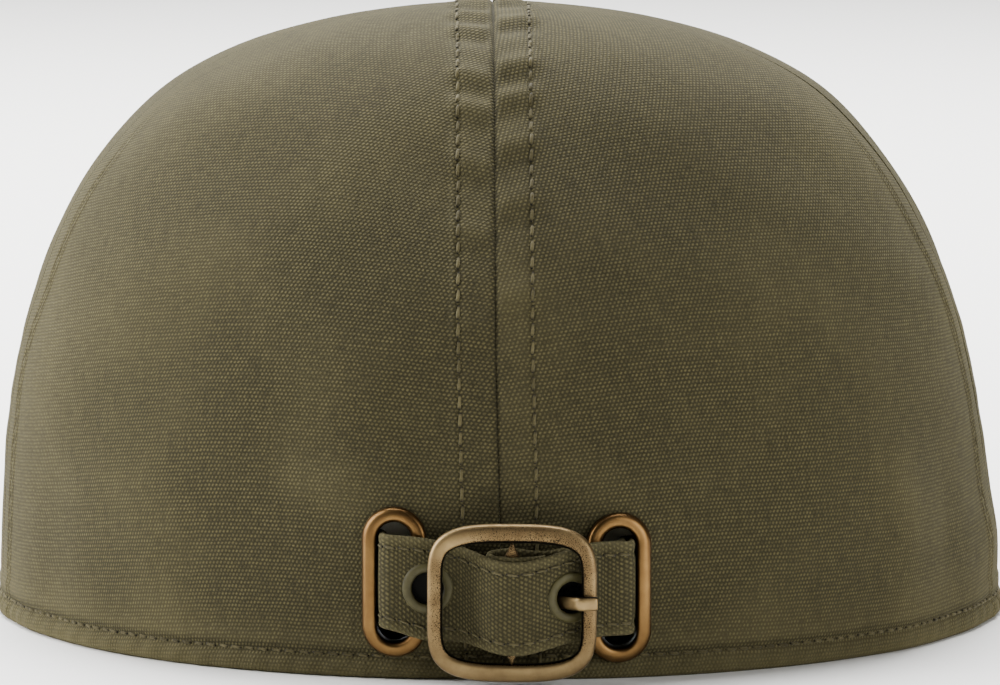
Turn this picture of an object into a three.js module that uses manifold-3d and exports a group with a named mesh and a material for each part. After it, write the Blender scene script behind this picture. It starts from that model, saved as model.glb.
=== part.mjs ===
// A peaked cap in canvas: two back panels, one front panel, a stiff peak, and a buckled strap
// that comes out of two oblong brass eyelets at the back.
// Millimetres, +Z up. The back of the cap is toward +Y, the peak toward -Y, the wearer's left toward +X.

import * as THREE from "three";
import { mergeVertices } from "three/addons/utils/BufferGeometryUtils.js";
import Module from "manifold-3d";

const wasm = await Module();
wasm.setup();

// Crown
const HALF_WIDTH = 90;
const BACK_DEPTH = 101;
const FRONT_DEPTH = 106;
const CROWN_HEIGHT = 110.7;
const TOP_Y = 29;
const TOP_LEAN = 1.3;
const FRONT_RISE = 24;
const RISE_START_DEGREES = 92;
const PANEL_WALL = 1.6;
const SIDE_SEAM_Y = 18;
const BACK_SEAM_X = -0.6;
const SEAM_GAP = 0.3;

// Peak
const PEAK_REACH = 50;
const PEAK_THICKNESS = 3;
const PEAK_HALF_DEGREES = 62;
const PEAK_ARCH = 12;
const PEAK_FLOOR_GAP = 0.3;
const PEAK_SEWN_EDGE = 1.2;
const PEAK_STRAIGHTNESS = 0.45;
const PEAK_RIM_POWER = 0.72;
const PEAK_ARCH_POWER = 1.6;

// Oblong eyelets
const RING_SPACING = 38.1;
const RINGS_X = -1.15;
const RING_LEFT_Z = 17.3;
const RING_RIGHT_Z = 16.2;
const RING_WIDTH = 11;
const RING_HEIGHT = 25;
const RING_WIRE = 2.6;
const RING_BEAD = 1.5;
const RING_LIP = 0.5;
const RING_LIP_REACH = 0.6;
const RING_BARREL = 0.6;

// Straps
const STRAP_WIDTH = 16;
const STRAP_THICKNESS = 1.2;
const STRAP_TAIL = 38;
const STRAP_SAG = 3.2;
const SLOT_BEND = 1.7;
const CREST_BEND = 4;
const CREST_RUN_UP = 0.4;
const EYELET_BEND = 2;
const EYELET_RUN_OUT = 0.8;
const LOOP_TAIL_DROP = 0.4;

// Round eyelets
const EYELET_OUTER = 8.7;
const EYELET_INNER = 5.4;
const EYELET_FACE = 0.5;
const EYELET_BACK = 0.4;
const EYELET_BARREL = 0.5;
const EYELET_CROWN_OUT = 0.3;
const EYELET_CROWN_IN = 0.5;
const EYELET_SPACING = 24.1;
const EYELETS_X = 0.15;
const EYELET_LEFT_Z = 16.4;
const EYELET_RIGHT_Z = 15.2;

// Buckle
const BUCKLE_X = -2;
const BUCKLE_Z = 14.3;
const BUCKLE_WIDTH = 28.6;
const BUCKLE_HEIGHT = 27;
const SIDE_BAR = 2.6;
const END_BAR = 3.2;
const BUCKLE_THICKNESS = 2.4;
const CENTRE_BAR = 2.6;
const CENTRE_BAR_SET = 2;
const TONGUE_WIDTH = 2.4;
const TONGUE_THICKNESS = 1.4;
const TONGUE_DROP = 0.7;
const TONGUE_HOOK_START = -0.35;
const TONGUE_FLATNESS = 1.08;
const TONGUE_RISE_BEND = 1.2;
const TONGUE_REST_BEND = 1;
const SLOPE_UNDER_BAR = 1.3;

// Spaces between pieces
const TOUCH_GAP = 0.3;
const FIT_GAP = 0.2;
const CUT_PAST = 3;

// Numbers of steps: columns and rows of each sheet, points of each section.
const BACK_PANEL_STEPS = [18, 22];
const FRONT_PANEL_STEPS = [28, 18];
const PEAK_STEPS = [30, 6];
const RING_END_STEPS = 10;
const SLOT_END_STEPS = 8;
const STRAP_ROWS = 4;
const ROUTE_STEP = 4;
const LOOP_STEPS = 6;
const FRAME_STEPS = 44;
const EYELET_STEPS = 20;
const BAR_POINTS = 8;

// Profiles from the hem to the top of the crown. Each row is a share of the plan distance to the top
// and a share of the height.
const SIDE_PROFILE = [
  [1, 0],
  [0.997, 0.108],
  [0.985, 0.225],
  [0.965, 0.36],
  [0.927, 0.48],
  [0.874, 0.61],
  [0.789, 0.735],
  [0.666, 0.845],
  [0.513, 0.918],
  [0.337, 0.965],
  [0.16, 0.991],
  [0, 1],
];
const BACK_PROFILE = [
  [1, 0],
  [1.02, 0.125],
  [1.014, 0.26],
  [0.975, 0.4],
  [0.905, 0.53],
  [0.815, 0.64],
  [0.69, 0.75],
  [0.555, 0.85],
  [0.41, 0.925],
  [0.27, 0.968],
  [0.13, 0.992],
  [0, 1],
];
const FRONT_PROFILE = [
  [1, 0],
  [1.016, 0.1],
  [1.006, 0.21],
  [0.965, 0.345],
  [0.885, 0.495],
  [0.77, 0.64],
  [0.635, 0.755],
  [0.49, 0.855],
  [0.345, 0.925],
  [0.21, 0.966],
  [0.1, 0.99],
  [0, 1],
];

// Soft hollows of the worn cloth: degrees round from the back seam, share of the height,
// depth and reach as shares of the crown's half width.
const DENTS = [
  { degrees: 24, height: 0.3, depth: 0.014, reach: 0.16 },
  { degrees: -27, height: 0.32, depth: 0.014, reach: 0.17 },
  { degrees: 140, height: 0.5, depth: 0.02, reach: 0.3 },
  { degrees: -135, height: 0.55, depth: 0.018, reach: 0.28 },
];

const RADIANS = Math.PI / 180;
const clamp = (value, low, high) => Math.min(high, Math.max(low, value));
const smooth = (share) => share * share * (3 - 2 * share);

// A point of a profile at share t of its rows, on a Catmull-Rom curve. Past the top it mirrors.
function profileAt(profile, t) {
  const last = profile.length - 1;
  const place = clamp(t, 0, 1) * last;
  const row = Math.min(Math.floor(place), last - 1);
  const s = place - row;
  const before = row > 0 ? profile[row - 1] : profile[0].map((v, k) => 2 * v - profile[1][k]);
  const after = row + 2 <= last ? profile[row + 2] : [-profile[last - 1][0], profile[last - 1][1]];
  return [0, 1].map((k) => {
    const [a, b, c, d] = [before[k], profile[row][k], profile[row + 1][k], after[k]];
    const cubic = (3 * b - a - 3 * c + d) * s * s * s;
    return 0.5 * (2 * b + (c - a) * s + (2 * a - 5 * b + 4 * c - d) * s * s + cubic);
  });
}

// Height of the hem at an angle round from the back: flat on the floor behind, rising over the peak.
function hemHeight(angle) {
  const turned = Math.abs(Math.atan2(Math.sin(angle), Math.cos(angle)));
  const start = RISE_START_DEGREES * RADIANS;
  return FRONT_RISE * smooth(clamp((turned - start) / (Math.PI - start), 0, 1));
}

// Plan point of the hem at an angle round from the back.
function hemPlan(angle) {
  const depth = Math.cos(angle) > 0 ? BACK_DEPTH : FRONT_DEPTH;
  return [HALF_WIDTH * Math.sin(angle), depth * Math.cos(angle)];
}

const CROWN_TOP = { x: 0, y: TOP_Y };

// The crown before its dents. Each meridian is straight in plan, from the hem to the top.
function smoothCrown(angle, t, top) {
  const back = Math.max(Math.cos(angle), 0) ** 2;
  const front = Math.max(-Math.cos(angle), 0) ** 2;
  const rows = [
    [SIDE_PROFILE, 1 - back - front],
    [BACK_PROFILE, back],
    [FRONT_PROFILE, front],
  ];
  let plan = 0;
  let height = 0;
  for (const [profile, weight] of rows) {
    const [q, p] = profileAt(profile, t);
    plan += weight * q;
    height += weight * p;
  }
  const [hemX, hemY] = hemPlan(angle);
  const low = hemHeight(angle);
  const lean = TOP_LEAN * Math.min(1, 2 * height);
  return new THREE.Vector3(
    top.x + (hemX - top.x) * plan + lean,
    top.y + (hemY - top.y) * plan,
    low + (CROWN_HEIGHT - low) * height,
  );
}

// Outward normal of a surface given as a function of two shares, by differences.
function normalOf(surface, angle, t) {
  const step = 0.002;
  const tLow = Math.max(t - step, 0);
  const tHigh = Math.min(t + step, 1 - step);
  const tHere = Math.min(t, 1 - step);
  const around = surface(angle + step, tHere).sub(surface(angle - step, tHere));
  const up = surface(angle, tHigh).sub(surface(angle, Math.min(tLow, tHigh - step)));
  return up.cross(around).normalize();
}

// How far the dents push a place of the crown inward.
function dentDepth(angle, t) {
  let depth = 0;
  for (const dent of DENTS) {
    const turn = angle - dent.degrees * RADIANS;
    const round = Math.atan2(Math.sin(turn), Math.cos(turn));
    const height = profileAt(SIDE_PROFILE, t)[1] - dent.height;
    const away = (round * round + (1.2 * height) ** 2) / dent.reach ** 2;
    depth += HALF_WIDTH * dent.depth * Math.exp(-away);
  }
  return depth * smooth(clamp(t * 6, 0, 1));
}

// The crown's outer surface, with its dents.
function crown(angle, t, top = CROWN_TOP) {
  const point = smoothCrown(angle, t, top);
  const normal = normalOf((a, s) => smoothCrown(a, s, top), angle, t);
  return point.addScaledVector(normal, -dentDepth(angle, t));
}

// A closed mesh from vertex positions and triangles.
function meshGeometry(points, triangles) {
  const geometry = new THREE.BufferGeometry();
  const numbers = points.flatMap((p) => [p.x, p.y, p.z]);
  geometry.setAttribute("position", new THREE.Float32BufferAttribute(numbers, 3));
  geometry.setIndex(triangles.flat());
  return geometry;
}

// Joins two sheets of points, each a list of rows, into one closed shell. The first sheet faces out.
function shellGeometry(outer, inner) {
  const rows = outer.length;
  const columns = outer[0].length;
  const points = [...outer.flat(), ...inner.flat()];
  const over = (i, j) => i * columns + j;
  const under = (i, j) => rows * columns + i * columns + j;
  const triangles = [];
  const quad = (a, b, c, d) => triangles.push([a, b, c], [a, c, d]);
  for (let i = 0; i < rows - 1; i += 1) {
    for (let j = 0; j < columns - 1; j += 1) {
      quad(over(i, j), over(i, j + 1), over(i + 1, j + 1), over(i + 1, j));
      quad(under(i, j), under(i + 1, j), under(i + 1, j + 1), under(i, j + 1));
    }
    quad(over(i, 0), over(i + 1, 0), under(i + 1, 0), under(i, 0));
    const j = columns - 1;
    quad(over(i, j), under(i, j), under(i + 1, j), over(i + 1, j));
  }
  for (let j = 0; j < columns - 1; j += 1) {
    quad(over(0, j), under(0, j), under(0, j + 1), over(0, j + 1));
    const i = rows - 1;
    quad(over(i, j), over(i, j + 1), under(i, j + 1), under(i, j));
  }
  return meshGeometry(points, triangles);
}

// A closed tube whose sections are rings of points, with ends where it doesn't close on itself.
function sweptGeometry(sections, closed) {
  const count = sections.length;
  const around = sections[0].length;
  const points = sections.flat();
  const triangles = [];
  for (let i = 0; i < (closed ? count : count - 1); i += 1) {
    const next = (i + 1) % count;
    for (let j = 0; j < around; j += 1) {
      const k = (j + 1) % around;
      const [a, b, c, d] = [i * around + j, i * around + k, next * around + k, next * around + j];
      triangles.push([a, b, c], [a, c, d]);
    }
  }
  if (!closed) {
    const last = (count - 1) * around;
    for (let j = 1; j < around - 1; j += 1) {
      triangles.push([0, j + 1, j], [last, last + j, last + j + 1]);
    }
  }
  return meshGeometry(points, triangles);
}

// Turns a geometry into a solid that faces out.
function solidOf(geometry) {
  const bare = geometry.clone();
  for (const name of ["normal", "uv"]) {
    bare.deleteAttribute(name);
  }
  const merged = mergeVertices(bare, 1e-4);
  const vertProperties = merged.attributes.position.array;
  const build = (triVerts) => new wasm.Manifold(new wasm.Mesh({ numProp: 3, vertProperties, triVerts }));
  const triVerts = new Uint32Array(merged.index.array);
  const solid = build(triVerts);
  if (solid.volume() > 0) {
    return solid;
  }
  return build(triVerts.slice().reverse());
}

// Turns a solid back into a geometry.
function geometryOf(solid) {
  const mesh = solid.getMesh();
  const geometry = new THREE.BufferGeometry();
  const positions = new Float32Array(mesh.numVert * 3);
  for (let i = 0; i < mesh.numVert; i += 1) {
    for (let k = 0; k < 3; k += 1) {
      positions[3 * i + k] = mesh.vertProperties[mesh.numProp * i + k];
    }
  }
  geometry.setAttribute("position", new THREE.BufferAttribute(positions, 3));
  geometry.setIndex(new THREE.BufferAttribute(new Uint32Array(mesh.triVerts), 1));
  return geometry;
}

// Crown panels
const SIDE_SEAM = Math.acos(SIDE_SEAM_Y / BACK_DEPTH);
const BACK_SEAM = Math.asin(BACK_SEAM_X / HALF_WIDTH);

// One panel between two seams. Its tip stands off the top, so that each seam keeps its gap all along.
function panelGeometry(start, end, [across, up]) {
  const half = SEAM_GAP / 2;
  const directions = [start, end].map((angle) => {
    const [x, y] = hemPlan(angle);
    return new THREE.Vector2(x, y - TOP_Y).normalize();
  });
  const bisector = directions[0].clone().add(directions[1]).normalize();
  const halfWedge = Math.acos(clamp(bisector.dot(directions[0]), -1, 1));
  const tip = bisector.multiplyScalar(half / Math.sin(halfWedge));
  const top = { x: tip.x, y: TOP_Y + tip.y };
  const trim = half / BACK_DEPTH;
  const surface = (angle, t) => crown(angle, t, top);
  const outer = [];
  const inner = [];
  for (let i = 0; i <= across; i += 1) {
    const angle = start + trim + ((end - start - 2 * trim) * i) / across;
    const outerRow = [];
    const innerRow = [];
    for (let j = 0; j <= up; j += 1) {
      const t = j / up;
      const point = j < up ? surface(angle, t) : surface(start, 1);
      const normal = j < up ? normalOf(surface, angle, t) : new THREE.Vector3(0, 0, 1);
      const below = point.clone().addScaledVector(normal, -PANEL_WALL);
      if (j === 0) {
        below.z = point.z;
      }
      outerRow.push(point);
      innerRow.push(below);
    }
    outer.push(outerRow);
    inner.push(innerRow);
  }
  return shellGeometry(outer, inner);
}

// The place on the back of the crown's outer surface at a given x and height.
function backSurface(x, z) {
  let angle = Math.asin(clamp(x / HALF_WIDTH, -0.9, 0.9));
  let t = clamp((z / CROWN_HEIGHT) * 0.7, 0, 0.6);
  const step = 1e-4;
  for (let turn = 0; turn < 8; turn += 1) {
    const here = crown(angle, t);
    const round = crown(angle + step, t).sub(here).divideScalar(step);
    const rise = crown(angle, t + step).sub(here).divideScalar(step);
    const [ex, ez] = [x - here.x, z - here.z];
    const scale = round.x * rise.z - rise.x * round.z;
    angle += (ex * rise.z - ez * rise.x) / scale;
    t += (round.x * ez - round.z * ex) / scale;
    t = clamp(t, -0.05, 0.9);
  }
  return { point: crown(angle, Math.max(t, 0)), normal: normalOf(crown, angle, Math.max(t, 0)) };
}

// Round of the crown's back, which carries the strap and the buckle.
const BACK_ROUND = HALF_WIDTH ** 2 / BACK_DEPTH;
const foundPlaces = new Map();

// Maps x, stand-off from the cloth and height to a place behind the crown.
function onBack(x, stand, z) {
  const footX = (x * BACK_ROUND) / (BACK_ROUND + stand);
  const key = `${footX.toFixed(4)} ${z.toFixed(4)}`;
  if (!foundPlaces.has(key)) {
    foundPlaces.set(key, backSurface(footX, Math.max(z, 0.5)));
  }
  const { point, normal } = foundPlaces.get(key);
  const level = new THREE.Vector2(normal.x, normal.y).normalize();
  return new THREE.Vector3(point.x + level.x * stand, point.y + level.y * stand, z);
}

// Oblong eyelets
const RINGS = [
  { side: "left", x: RINGS_X + RING_SPACING / 2, z: RING_LEFT_Z },
  { side: "right", x: RINGS_X - RING_SPACING / 2, z: RING_RIGHT_Z },
];
const RING_MIDLINE = (RING_WIDTH - RING_WIRE) / 2;
const RING_OPEN = RING_WIDTH / 2 - RING_WIRE;

// Points and outward directions round an oblong with half-round ends.
function oblong(halfWidth, halfHeight, steps) {
  const straight = halfHeight - halfWidth;
  const places = [];
  for (let end = 0; end < 2; end += 1) {
    for (let i = 0; i <= steps; i += 1) {
      const angle = Math.PI * (end + i / steps);
      const out = new THREE.Vector2(Math.cos(angle), Math.sin(angle));
      const middle = end === 0 ? straight : -straight;
      places.push({ x: halfWidth * out.x, z: middle + halfWidth * out.y, out });
    }
    const side = end === 0 ? -1 : 1;
    for (const share of [1 / 3, 2 / 3]) {
      const z = straight * (1 - 2 * share) * (end === 0 ? 1 : -1);
      places.push({ x: side * halfWidth, z, out: new THREE.Vector2(side, 0) });
    }
  }
  return places;
}

// Section of an oblong eyelet, from the middle of its wire: a half-round bead on the cloth,
// a barrel through it and a lip turned over behind. Each point is an offset outward and a stand-off.
function ringSection() {
  const half = RING_WIRE / 2;
  const behind = -PANEL_WALL - TOUCH_GAP;
  const points = [];
  for (let i = 0; i <= 6; i += 1) {
    const angle = (Math.PI * i) / 6;
    points.push([half * Math.cos(angle), TOUCH_GAP + RING_BEAD * Math.sin(angle)]);
  }
  points.push([-half, behind - RING_LIP]);
  points.push([half * RING_LIP_REACH, behind - RING_LIP]);
  points.push([half * RING_LIP_REACH, behind]);
  points.push([RING_BARREL - half, behind]);
  points.push([RING_BARREL - half, TOUCH_GAP]);
  return points;
}

function ringGeometry(ring) {
  const section = ringSection();
  const outline = oblong(RING_MIDLINE, RING_MIDLINE + (RING_HEIGHT - RING_WIDTH) / 2, RING_END_STEPS);
  const sections = outline.map((place) =>
    section.map(([out, stand]) => {
      const x = ring.x + place.x + out * place.out.x;
      return onBack(x, stand, ring.z + place.z + out * place.out.y);
    }),
  );
  return sweptGeometry(sections, true);
}

// The hole in the panel that the barrel of an oblong eyelet passes through.
function slotCutter(ring) {
  const halfWidth = RING_OPEN + RING_BARREL + TOUCH_GAP;
  const halfHeight = halfWidth + (RING_HEIGHT - RING_WIDTH) / 2;
  const outline = oblong(halfWidth, halfHeight, SLOT_END_STEPS);
  const shape = new THREE.Shape(outline.map((place) => new THREE.Vector2(place.x, place.z)));
  const depth = PANEL_WALL + 2 * CUT_PAST;
  const geometry = new THREE.ExtrudeGeometry(shape, { depth, bevelEnabled: false, steps: 1 });
  const position = geometry.attributes.position;
  for (let i = 0; i < position.count; i += 1) {
    const stand = position.getZ(i) - depth / 2;
    const place = onBack(ring.x + position.getX(i), stand, ring.z + position.getY(i));
    position.setXYZ(i, place.x, place.y, place.z);
  }
  return solidOf(geometry);
}

// Levels above the cloth, from the layers that lie on each other
const LAYER = STRAP_THICKNESS + TOUCH_GAP;
const INSIDE = -(PANEL_WALL + TOUCH_GAP + RING_LIP + TOUCH_GAP + STRAP_THICKNESS / 2);
const OVER_RING = TOUCH_GAP + RING_BEAD + TOUCH_GAP + STRAP_THICKNESS / 2;
const LONG_LEFT = OVER_RING + EYELET_BACK + FIT_GAP;
const LONG_RIGHT = OVER_RING + LAYER;
const BAR_OVER_STRAP = STRAP_THICKNESS / 2 + FIT_GAP + EYELET_FACE + FIT_GAP + BUCKLE_THICKNESS / 2;
const LEFT_BAR = LONG_LEFT + BAR_OVER_STRAP;
const RIGHT_BAR = LONG_RIGHT + SLOPE_UNDER_BAR + BAR_OVER_STRAP;
const CENTRE_BAR_LEVEL = (LEFT_BAR + RIGHT_BAR) / 2 - CENTRE_BAR_SET;
const LOOP_RADIUS = CENTRE_BAR / 2 + TOUCH_GAP + STRAP_THICKNESS / 2;
const CREST = CENTRE_BAR_LEVEL + LOOP_RADIUS + LAYER;

const CLIMB = RING_OPEN - TOUCH_GAP - STRAP_THICKNESS / 2;
const [LEFT_RING, RIGHT_RING] = RINGS;

// A route of straight runs with round corners, cut into short steps. A corner is x, level and radius.
function roundedRoute(corners, step) {
  const places = [];
  const add = (point) => places.push(point.clone());
  const at = (i) => new THREE.Vector2(corners[i][0], corners[i][1]);
  let from = at(0);
  add(from);
  for (let i = 1; i < corners.length; i += 1) {
    const here = at(i);
    const along = here.clone().sub(from).normalize();
    let cut = 0;
    let next = along;
    let turn = 0;
    if (i < corners.length - 1) {
      next = at(i + 1).sub(here).normalize();
      turn = Math.atan2(along.cross(next), along.dot(next));
      cut = corners[i][2] * Math.tan(Math.abs(turn) / 2);
    }
    const stop = here.clone().addScaledVector(along, -cut);
    const pieces = Math.max(1, Math.round(stop.distanceTo(from) / step));
    for (let k = 1; k <= pieces; k += 1) {
      add(from.clone().lerp(stop, k / pieces));
    }
    const spoke = Math.sign(turn) * (corners[i][2] ?? 0);
    const centre = new THREE.Vector2(-along.y, along.x).multiplyScalar(spoke).add(stop);
    const bends = Math.ceil(Math.abs(turn) / 0.4);
    for (let k = 1; k <= bends; k += 1) {
      add(stop.clone().rotateAround(centre, (turn * k) / bends));
    }
    from = places[places.length - 1].clone();
  }
  return places;
}

// Height of a strap's middle at x: a line between the two slots, with the sag over the centre bar.
function strapHeight(x) {
  const share = (x - RIGHT_RING.x) / RING_SPACING;
  const line = RIGHT_RING.z + (LEFT_RING.z - RIGHT_RING.z) * share;
  const away = (x - BUCKLE_X) / (RING_SPACING / 4);
  return line - STRAP_SAG * Math.exp(-away * away);
}

// A flat strap along a route, with a few rows across its width.
function strapGeometry(route) {
  const outer = [];
  const inner = [];
  route.forEach((place, i) => {
    const before = route[Math.max(i - 1, 0)];
    const after = route[Math.min(i + 1, route.length - 1)];
    const first = place.clone().sub(before);
    const second = after.clone().sub(place);
    const along = first.normalize().add(second.normalize()).normalize();
    const side = new THREE.Vector2(-along.y, along.x).multiplyScalar(STRAP_THICKNESS / 2);
    const middle = strapHeight(place.x);
    const outerRow = [];
    const innerRow = [];
    for (let j = 0; j <= STRAP_ROWS; j += 1) {
      const z = middle + STRAP_WIDTH * (j / STRAP_ROWS - 0.5);
      outerRow.push(onBack(place.x + side.x, place.y + side.y, z));
      innerRow.push(onBack(place.x - side.x, place.y - side.y, z));
    }
    outer.push(outerRow);
    inner.push(innerRow);
  });
  return shellGeometry(outer, inner);
}

const EYELETS = [
  { side: "left", x: EYELETS_X + EYELET_SPACING / 2, z: EYELET_LEFT_Z },
  { side: "right", x: EYELETS_X - EYELET_SPACING / 2, z: EYELET_RIGHT_Z },
];

const EYELET_REACH = EYELET_OUTER / 2 + TOUCH_GAP;
const LIP_BEND = STRAP_THICKNESS / 2 + TOUCH_GAP;
const LONG_ROUTE = roundedRoute(
  [
    [LEFT_RING.x + STRAP_TAIL, INSIDE],
    [LEFT_RING.x + CLIMB, INSIDE, LIP_BEND],
    [LEFT_RING.x + CLIMB, LONG_LEFT, SLOT_BEND],
    [EYELETS[0].x - EYELET_REACH - CREST_BEND * CREST_RUN_UP, LONG_LEFT, CREST_BEND],
    [BUCKLE_X + LOOP_RADIUS, CREST, CREST_BEND],
    [BUCKLE_X - LOOP_RADIUS, CREST, CREST_BEND],
    [EYELETS[1].x - EYELET_REACH - EYELET_RUN_OUT, LONG_RIGHT, EYELET_BEND],
    [RIGHT_RING.x - CLIMB, LONG_RIGHT, SLOT_BEND],
    [RIGHT_RING.x - CLIMB, TOUCH_GAP],
  ],
  ROUTE_STEP,
);

const loopPlaces = Array.from({ length: LOOP_STEPS + 1 }, (_, i) => {
  const angle = -Math.PI / 2 + (Math.PI * i) / LOOP_STEPS;
  return new THREE.Vector2(
    BUCKLE_X + LOOP_RADIUS * Math.cos(angle),
    CENTRE_BAR_LEVEL + LOOP_RADIUS * Math.sin(angle),
  );
});
const SHORT_ROUTE = [
  ...roundedRoute(
    [
      [RIGHT_RING.x - STRAP_TAIL, INSIDE],
      [RIGHT_RING.x - CLIMB + LAYER, INSIDE, LIP_BEND],
      [RIGHT_RING.x - CLIMB + LAYER, OVER_RING, SLOT_BEND],
      [BUCKLE_X - BUCKLE_WIDTH / 2 + SIDE_BAR, OVER_RING, CREST_BEND],
      [BUCKLE_X - LOOP_RADIUS, CENTRE_BAR_LEVEL - LOOP_RADIUS, CREST_BEND],
      [BUCKLE_X, CENTRE_BAR_LEVEL - LOOP_RADIUS],
    ],
    ROUTE_STEP,
  ),
  ...loopPlaces.slice(1),
  new THREE.Vector2(BUCKLE_X - LOOP_RADIUS, CENTRE_BAR_LEVEL + LOOP_RADIUS - LOOP_TAIL_DROP),
];

// Midline of the buckle's frame, a superellipse whose powers make the corners round, the sides
// nearly straight and the ends bowed outward.
function framePlace(angle) {
  const [c, s] = [Math.cos(angle), Math.sin(angle)];
  const acrossPower = 2 / 3;
  const upPower = 1 / 3;
  return new THREE.Vector2(
    (BUCKLE_WIDTH / 2 - SIDE_BAR / 2) * Math.sign(c) * Math.abs(c) ** acrossPower,
    (BUCKLE_HEIGHT / 2 - END_BAR / 2) * Math.sign(s) * Math.abs(s) ** upPower,
  );
}

// Level of the frame above the cloth: a straight line between its two side bars.
function frameLevel(x) {
  const share = (x - BUCKLE_X) / (BUCKLE_WIDTH - SIDE_BAR);
  return (LEFT_BAR + RIGHT_BAR) / 2 + (LEFT_BAR - RIGHT_BAR) * share;
}

// A ring of points round a bar, in the plane of its width and the stand-off.
function barSection(middle, out, level, width, thickness) {
  return Array.from({ length: BAR_POINTS }, (_, i) => {
    const angle = (2 * Math.PI * (i + 0.5)) / BAR_POINTS;
    const across = (width / 2) * Math.cos(angle);
    const stand = level + (thickness / 2) * Math.sin(angle);
    return onBack(middle.x + out.x * across, stand, middle.y + out.y * across);
  });
}

// The cast frame: its midline cut into even steps, wider at the ends than at the sides.
function frameSolid() {
  const fineSteps = 720;
  const step = (2 * Math.PI) / fineSteps;
  const fine = Array.from({ length: fineSteps }, (_, i) => framePlace((i + 0.5) * step));
  fine.push(fine[0].clone());
  const lengths = [0];
  for (let i = 1; i < fine.length; i += 1) {
    lengths.push(lengths[i - 1] + fine[i].distanceTo(fine[i - 1]));
  }
  const places = Array.from({ length: FRAME_STEPS }, (_, i) => {
    const target = (lengths[lengths.length - 1] * i) / FRAME_STEPS;
    const k = Math.max(1, lengths.findIndex((length) => length >= target));
    const share = (target - lengths[k - 1]) / (lengths[k] - lengths[k - 1]);
    return fine[k - 1].clone().lerp(fine[k], share);
  });
  const sections = places.map((place, i) => {
    const before = places[(i + FRAME_STEPS - 1) % FRAME_STEPS];
    const along = places[(i + 1) % FRAME_STEPS].clone().sub(before).normalize();
    const out = new THREE.Vector2(along.y, -along.x);
    const width = SIDE_BAR + (END_BAR - SIDE_BAR) * out.y ** 2;
    const middle = new THREE.Vector2(BUCKLE_X + place.x, BUCKLE_Z + place.y);
    return barSection(middle, out, frameLevel(middle.x), width, BUCKLE_THICKNESS);
  });
  return solidOf(sweptGeometry(sections, true));
}

// The centre bar from its lower end to its upper one, which taper and are set into the frame. Each row
// is a share of the reach, a share of the bar's thickness and how far it has risen to the frame's level.
const CENTRE_BAR_ROWS = [
  { share: -1, size: 0.35, lift: 1 },
  { share: -0.86, size: 0.5, lift: 0.75 },
  { share: -0.72, size: 1, lift: 0 },
  { share: -0.36, size: 1, lift: 0 },
  { share: 0, size: 1, lift: 0 },
  { share: 0.36, size: 1, lift: 0 },
  { share: 0.72, size: 1, lift: 0 },
  { share: 0.86, size: 0.5, lift: 0.75 },
  { share: 1, size: 0.35, lift: 1 },
];

function centreBarSolid() {
  const reach = BUCKLE_HEIGHT / 2 - END_BAR / 2;
  const out = new THREE.Vector2(1, 0);
  const sections = CENTRE_BAR_ROWS.map(({ share, size, lift }) => {
    const level = CENTRE_BAR_LEVEL + (frameLevel(BUCKLE_X) - CENTRE_BAR_LEVEL) * lift;
    const middle = new THREE.Vector2(BUCKLE_X, BUCKLE_Z + reach * share);
    return barSection(middle, out, level, CENTRE_BAR * size, CENTRE_BAR * size);
  });
  return solidOf(sweptGeometry(sections, false));
}

const TONGUE_Z = EYELET_RIGHT_Z - TONGUE_DROP;

// The tongue: hooked round the centre bar, up through the right eyelet, and down on the side bar.
function tongueGeometry() {
  const hook = CENTRE_BAR / 2 + FIT_GAP + TONGUE_THICKNESS / 2;
  const end = BUCKLE_X - BUCKLE_WIDTH / 2;
  const rest = RIGHT_BAR + BUCKLE_THICKNESS / 2 + FIT_GAP + TONGUE_THICKNESS / 2;
  const hookPlaces = Array.from({ length: LOOP_STEPS + 1 }, (_, i) => {
    const angle = TONGUE_HOOK_START + ((Math.PI / 2 - TONGUE_HOOK_START) * i) / LOOP_STEPS;
    return new THREE.Vector2(BUCKLE_X + hook * Math.cos(angle), CENTRE_BAR_LEVEL + hook * Math.sin(angle));
  });
  const run = roundedRoute(
    [
      [BUCKLE_X, CENTRE_BAR_LEVEL + hook],
      [EYELETS[1].x + EYELET_INNER * 0.3, OVER_RING + LAYER + TOUCH_GAP, TONGUE_RISE_BEND],
      [end + SIDE_BAR + FIT_GAP / 2, rest, TONGUE_REST_BEND],
      [end, rest],
    ],
    ROUTE_STEP * 0.75,
  );
  const places = [...hookPlaces, ...run.slice(1)];
  const sections = places.map((place, i) => {
    const before = places[Math.max(i - 1, 0)];
    const after = places[Math.min(i + 1, places.length - 1)];
    const along = after.clone().sub(before).normalize();
    const side = new THREE.Vector2(-along.y, along.x);
    return Array.from({ length: BAR_POINTS }, (_, k) => {
      const angle = (2 * Math.PI * (k + 0.5)) / BAR_POINTS;
      const lift = (TONGUE_THICKNESS / 2) * Math.sin(angle) * TONGUE_FLATNESS;
      const z = TONGUE_Z + (TONGUE_WIDTH / 2) * Math.cos(angle);
      return onBack(place.x + side.x * lift, place.y + side.y * lift, z);
    });
  });
  return sweptGeometry(sections, false);
}

// The long strap's level and slope at x, from its route outside the cloth.
function longStrapAt(x) {
  for (let i = 1; i < LONG_ROUTE.length; i += 1) {
    const [a, b] = [LONG_ROUTE[i - 1], LONG_ROUTE[i]];
    if (a.y > 0 && a.x >= x && b.x <= x && a.x > b.x) {
      const share = (a.x - x) / (a.x - b.x);
      return { level: a.y + (b.y - a.y) * share, along: a.clone().sub(b).normalize() };
    }
  }
  throw new Error("no strap at this x");
}

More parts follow.
